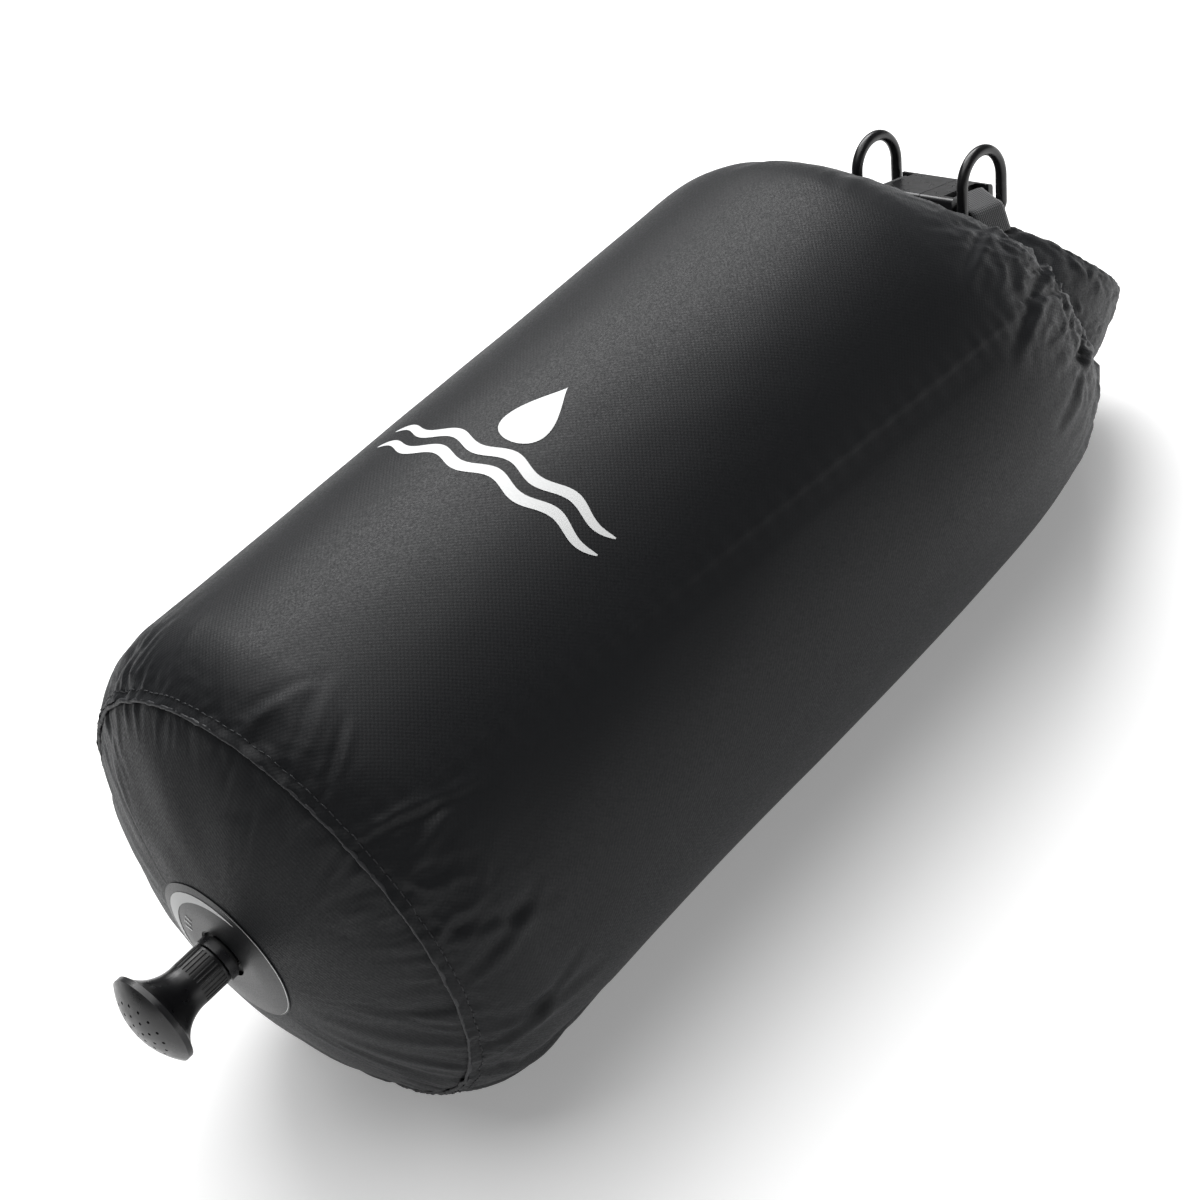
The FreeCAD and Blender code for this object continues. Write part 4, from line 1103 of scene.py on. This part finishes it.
@dataclass
class ShowerBag:
    """Builds the bag's own pieces, puts all but the right half of the rolled mouth on their bodies, dresses them, and
    dresses the frame's moulded pieces.
    """

    form: BagForm = field(default_factory=BagForm)

    def __post_init__(self) -> None:
        """Make the finishes."""
        axis = self.form.axis_z
        self.nylon = CoatedNylon().material(axis)
        self.base_nylon = CoatedNylon(name="coated_nylon_base", mapping=Mapping.ACROSS_THE_BASE).material(axis)
        self.acetal = MouldedAcetal().material()
        self.rose_skin = MouldedAcetal(name="moulded_abs_rose", colour="#101012", roughness=0.3).material()
        self.webbing = NylonWebbing().material()
        self.ink = PlainFinish("screen_ink", "#DDDEDE", 0.5, 0.5, 0.25, variation=0.06).material()
        self.thread = PlainFinish("bonded_thread", "#26272A", 0.62, 0.25, 0.35).material()
        self.binding = PlainFinish("seam_allowance", "#222326", 0.58, 0.5, 0.4).material()
        self.rubber = PlainFinish("nitrile_rubber", "#161616", 0.7, 0.3, 0.2).material()
        self.steel = PlainFinish("spring_steel", "#B9BBBE", 0.3, 0.2, 0.1, metallic=1.0).material()
        self.tape = PlainFinish("seam_tape_film", "#5B5C60", 0.45, 0.6, 0.15).material()
        self.patch = PlainFinish("patch_film", "#1A1B1D", 0.42, 0.5, 0.2).material()

    def finish(self, piece: Piece, material: bpy.types.Material, body: str) -> None:
        """Dress a new piece and put it on its body.

        Args:
            piece: the new piece.
            material: its finish.
            body: the frame body that it moves with.
        """
        piece.data.materials.append(material)
        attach(piece, body)
        log.info("%s rides on %s, %d points", piece.name, body, len(piece.data.vertices))

    def fabric(self) -> None:
        """The envelope and the base panel, with the prints, binding and stitches that lie on them."""
        envelope = FabricShell(self.form).build()
        self.finish(envelope, self.nylon, "bag")
        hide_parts("bag_tube", "side_seam_tape")
        panel = BasePanel(self.form).build()
        self.finish(panel, self.base_nylon, "bag")
        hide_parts("base_panel", "base_seam_tape")
        self.base_seam()
        cloth = Surface(envelope, self.form)
        self.stitches(cloth)
        self.prints(cloth)
        self.patch_and_arc(Surface(panel, self.form))

    def base_seam(self) -> None:
        """The bound seam round the base, a low ridge that wanders with the puckers."""
        turn = np.linspace(0, 2 * math.pi, 720, endpoint=False)
        wobble = 0.25 * ripples(61, turn, turn * 0, (14, 60))
        radius = self.form.seam_radius - 0.1 + wobble
        path = np.stack([-0.4 + 0 * turn, -radius * np.sin(turn), radius * np.cos(turn)], axis=1)
        placed = self.form.laid_down(self.form.placed(path))
        points, faces = tube_along(placed, 0.8 * MM, 10, 0.8, closed=True)
        lumps = puffs(points.reshape(-1, 10, 3), (2.4, 2.6, 2.6), 9.0, 0.9).reshape(-1, 1) - 0.5
        middle = np.repeat(placed, 10, axis=0)
        points = middle + (points - middle) * (1 + 0.55 * lumps)
        ridge = make_mesh("base_seam_binding", points, faces)
        self.finish(ridge, self.binding, "bag")
        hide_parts("base_seam")

    def stitches(self, surface: Surface, along_mm: float = 2.3, pitch_mm: float = 3.1) -> None:
        """A row of thread on the tube beside the base seam, which holds the seam allowance down.

        Args:
            surface: the finished envelope.
            along_mm: the row's distance from the seam.
            pitch_mm: length of one stitch with its gap.
        """
        chunks = []
        count = int(2 * math.pi * self.form.seam_radius / pitch_mm)
        for index in range(count):
            turns = 360 * index / count + np.linspace(0.08, 0.78, 4) * 360 / count
            path = np.array([surface.on_tube(float(a), along_mm, lift) for a, lift in zip(turns, (0, 0.16, 0.16, 0))])
            if path[:, 2].min() > 3 * MM:
                chunks.append(tube_along(path, 0.22 * MM, 5))
        self.finish(make_mesh("base_seam_stitches", *joined(chunks)), self.thread, "bag")

    def prints(self, surface: Surface) -> None:
        """The printed drop over two water lines on the front, a plain mark in place of any maker's."""
        def place(x: float, y: float) -> Vector:
            """Lay a point of the print, x round the bag and y along it, on the tube."""
            return surface.on_tube(11.0 + math.degrees(x / self.form.radius), 140.0 + y, 0.16)
        turn = np.linspace(0, 2 * math.pi, 56, endpoint=False)
        drop = np.stack([13 * np.sin(turn) * np.sin(turn / 2) ** 1.5, 12 + 15 * np.cos(turn)], axis=1)
        chunks = [printed_fan(drop, np.array((0.0, 8.0)), place)]
        chunks += [printed_wave(base, 104.0, 4.6, place) for base in (-9.5, -18.5)]
        self.finish(make_mesh("printed_drop_and_water_lines", *joined(chunks)), self.ink, "bag")

    def patch_and_arc(self, surface: Surface) -> None:
        """The smooth patch round the valve and the printed arc that shows which way the rose turns."""
        def place(y: float, z: float) -> Vector:
            """Lay a point on the base dome."""
            return surface.on_base(y, z, 0.35)
        rings = np.linspace(9.4, 28, 9)
        turn = np.linspace(0, 2 * math.pi, 96, endpoint=False)
        points = np.array([place(-r * math.sin(t), r * math.cos(t)) for r in rings for t in turn])
        faces = [tuple(reversed(face)) for face in grid_faces(len(rings), len(turn), True)]
        patch = make_mesh("valve_patch", points, faces)
        self.finish(patch, self.patch, "bag")
        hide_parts("base_patch")
        rim_line = self.printed_arc(surface, 24, 150, lambda share: (27.4, 27.4 + 0.4 * math.sin(math.pi * share)))
        arrow = self.printed_arc(surface, -112, 40, lambda share: (
            24.6 - 5.6 * math.sin(math.pi * share) ** 0.8 * (1 - 0.55 * share), 24.8))
        ticks = [self.printed_arc(surface, at, at + 4, lambda share: (14.2, 17.2)) for at in (-74, -62, -50)]
        chunks = [rim_line, arrow, *ticks]
        self.finish(make_mesh("printed_turn_arc", *joined(chunks)), self.ink, "bag")

    def printed_arc(self, surface: Surface, start: float, stop: float,
                    width_at: Callable[[float], tuple[float, float]]) -> Skin:
        """A printed arc about the valve.

        Args:
            surface: the base panel.
            start: its first angle from the front, in degrees.
            stop: its last angle.
            width_at: inner and outer radius in millimetres at a share of its length.

        Returns:
            The points and the faces.
        """
        columns = max(6, int(abs(stop - start) / 2))
        points = []
        for row in np.linspace(0, 1, 3):
            for share in np.linspace(0, 1, columns):
                inner, outer = width_at(float(share))
                radius = inner + (outer - inner) * row
                angle = math.radians(start + (stop - start) * share)
                points.append(surface.on_base(-radius * math.sin(angle), radius * math.cos(angle), 0.5))
        return np.array(points), grid_faces(3, columns, False)

    def closure(self) -> None:
        """The rolled mouth: the left half rides on the bag, and the right half is built and given its nylon but put
        on no body.
        """
        ring = ClosureRing(self.form)
        left = ring.stretch("rolled_mouth_left", 180.0, 360.0 - ring.open_from, 110)
        self.finish(left, self.nylon, "bag")
        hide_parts("roll_band", "roll_stiffener")
        right = ring.stretch("rolled_mouth_right", ring.open_from, 180.2, 110)
        right.data.materials.append(self.nylon)
        edge, across, _ = ring.frame_at(np.radians(np.array([92.0, 44.0])))
        bend_from, bend_to = self.form.placed(edge - across * ring.width / 2)
        tuple(bend_from)
        tuple(bend_to)
        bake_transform(right)
        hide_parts("roll_end_right")

    def straps(self) -> None:
        """Both straps, drawn in the buckle's own frame."""
        low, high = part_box("buckle_socket")
        origin = Vector(((low[0] + high[0]) / 2, 0, (low[2] + high[2]) / 2))
        hinge = next(joint for joint in frame["joints"] if joint["name"] == "ring_left_swing")
        across = Vector(hinge["axis"]).normalized()
        along = Vector((0, 1, 0))
        out = across.cross(along)
        for side, body, node in ((1, "bag", "webbing_left"), (-1, "plug", "webbing_right")):
            strap = Strap(side).build(f"strap_{'left' if side > 0 else 'right'}", origin, (across, along, out))
            self.finish(strap, self.webbing, body)
            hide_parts(node)

    def hardware(self) -> None:
        """Dress the moulded pieces that come from the frame as they are."""
        groups = (
            (self.acetal, "buckle_socket buckle_plug prong_front prong_back dring_left dring_right"),
            (self.rose_skin, "rose_body spray_plate clamp_nut valve_spigot poppet"),
            (self.rubber, "poppet_seal spigot_oring inner_gasket outer_gasket"),
            (self.steel, "rose_clip"),
            (self.tape, "base_seam_tape side_seam_tape"))
        for material, names in groups:
            for name in names.split():
                node = frame["nodes"][name]
                node.data.materials.clear()
                node.data.materials.append(material)
                log.info("%s dressed in %s", name, material.name)

    def build(self) -> None:
        """Build the bag from its fabric to its hardware."""
        self.fabric()
        self.closure()
        self.straps()
        self.hardware()


def main() -> None:
    """Build the studio and the bag."""
    logging.basicConfig(level=logging.INFO, format="%(name)s: %(message)s")
    noise.seed_set(NOISE_SEED)
    Studio().build()
    ShowerBag().build()


if __name__ == "__main__":
    main()
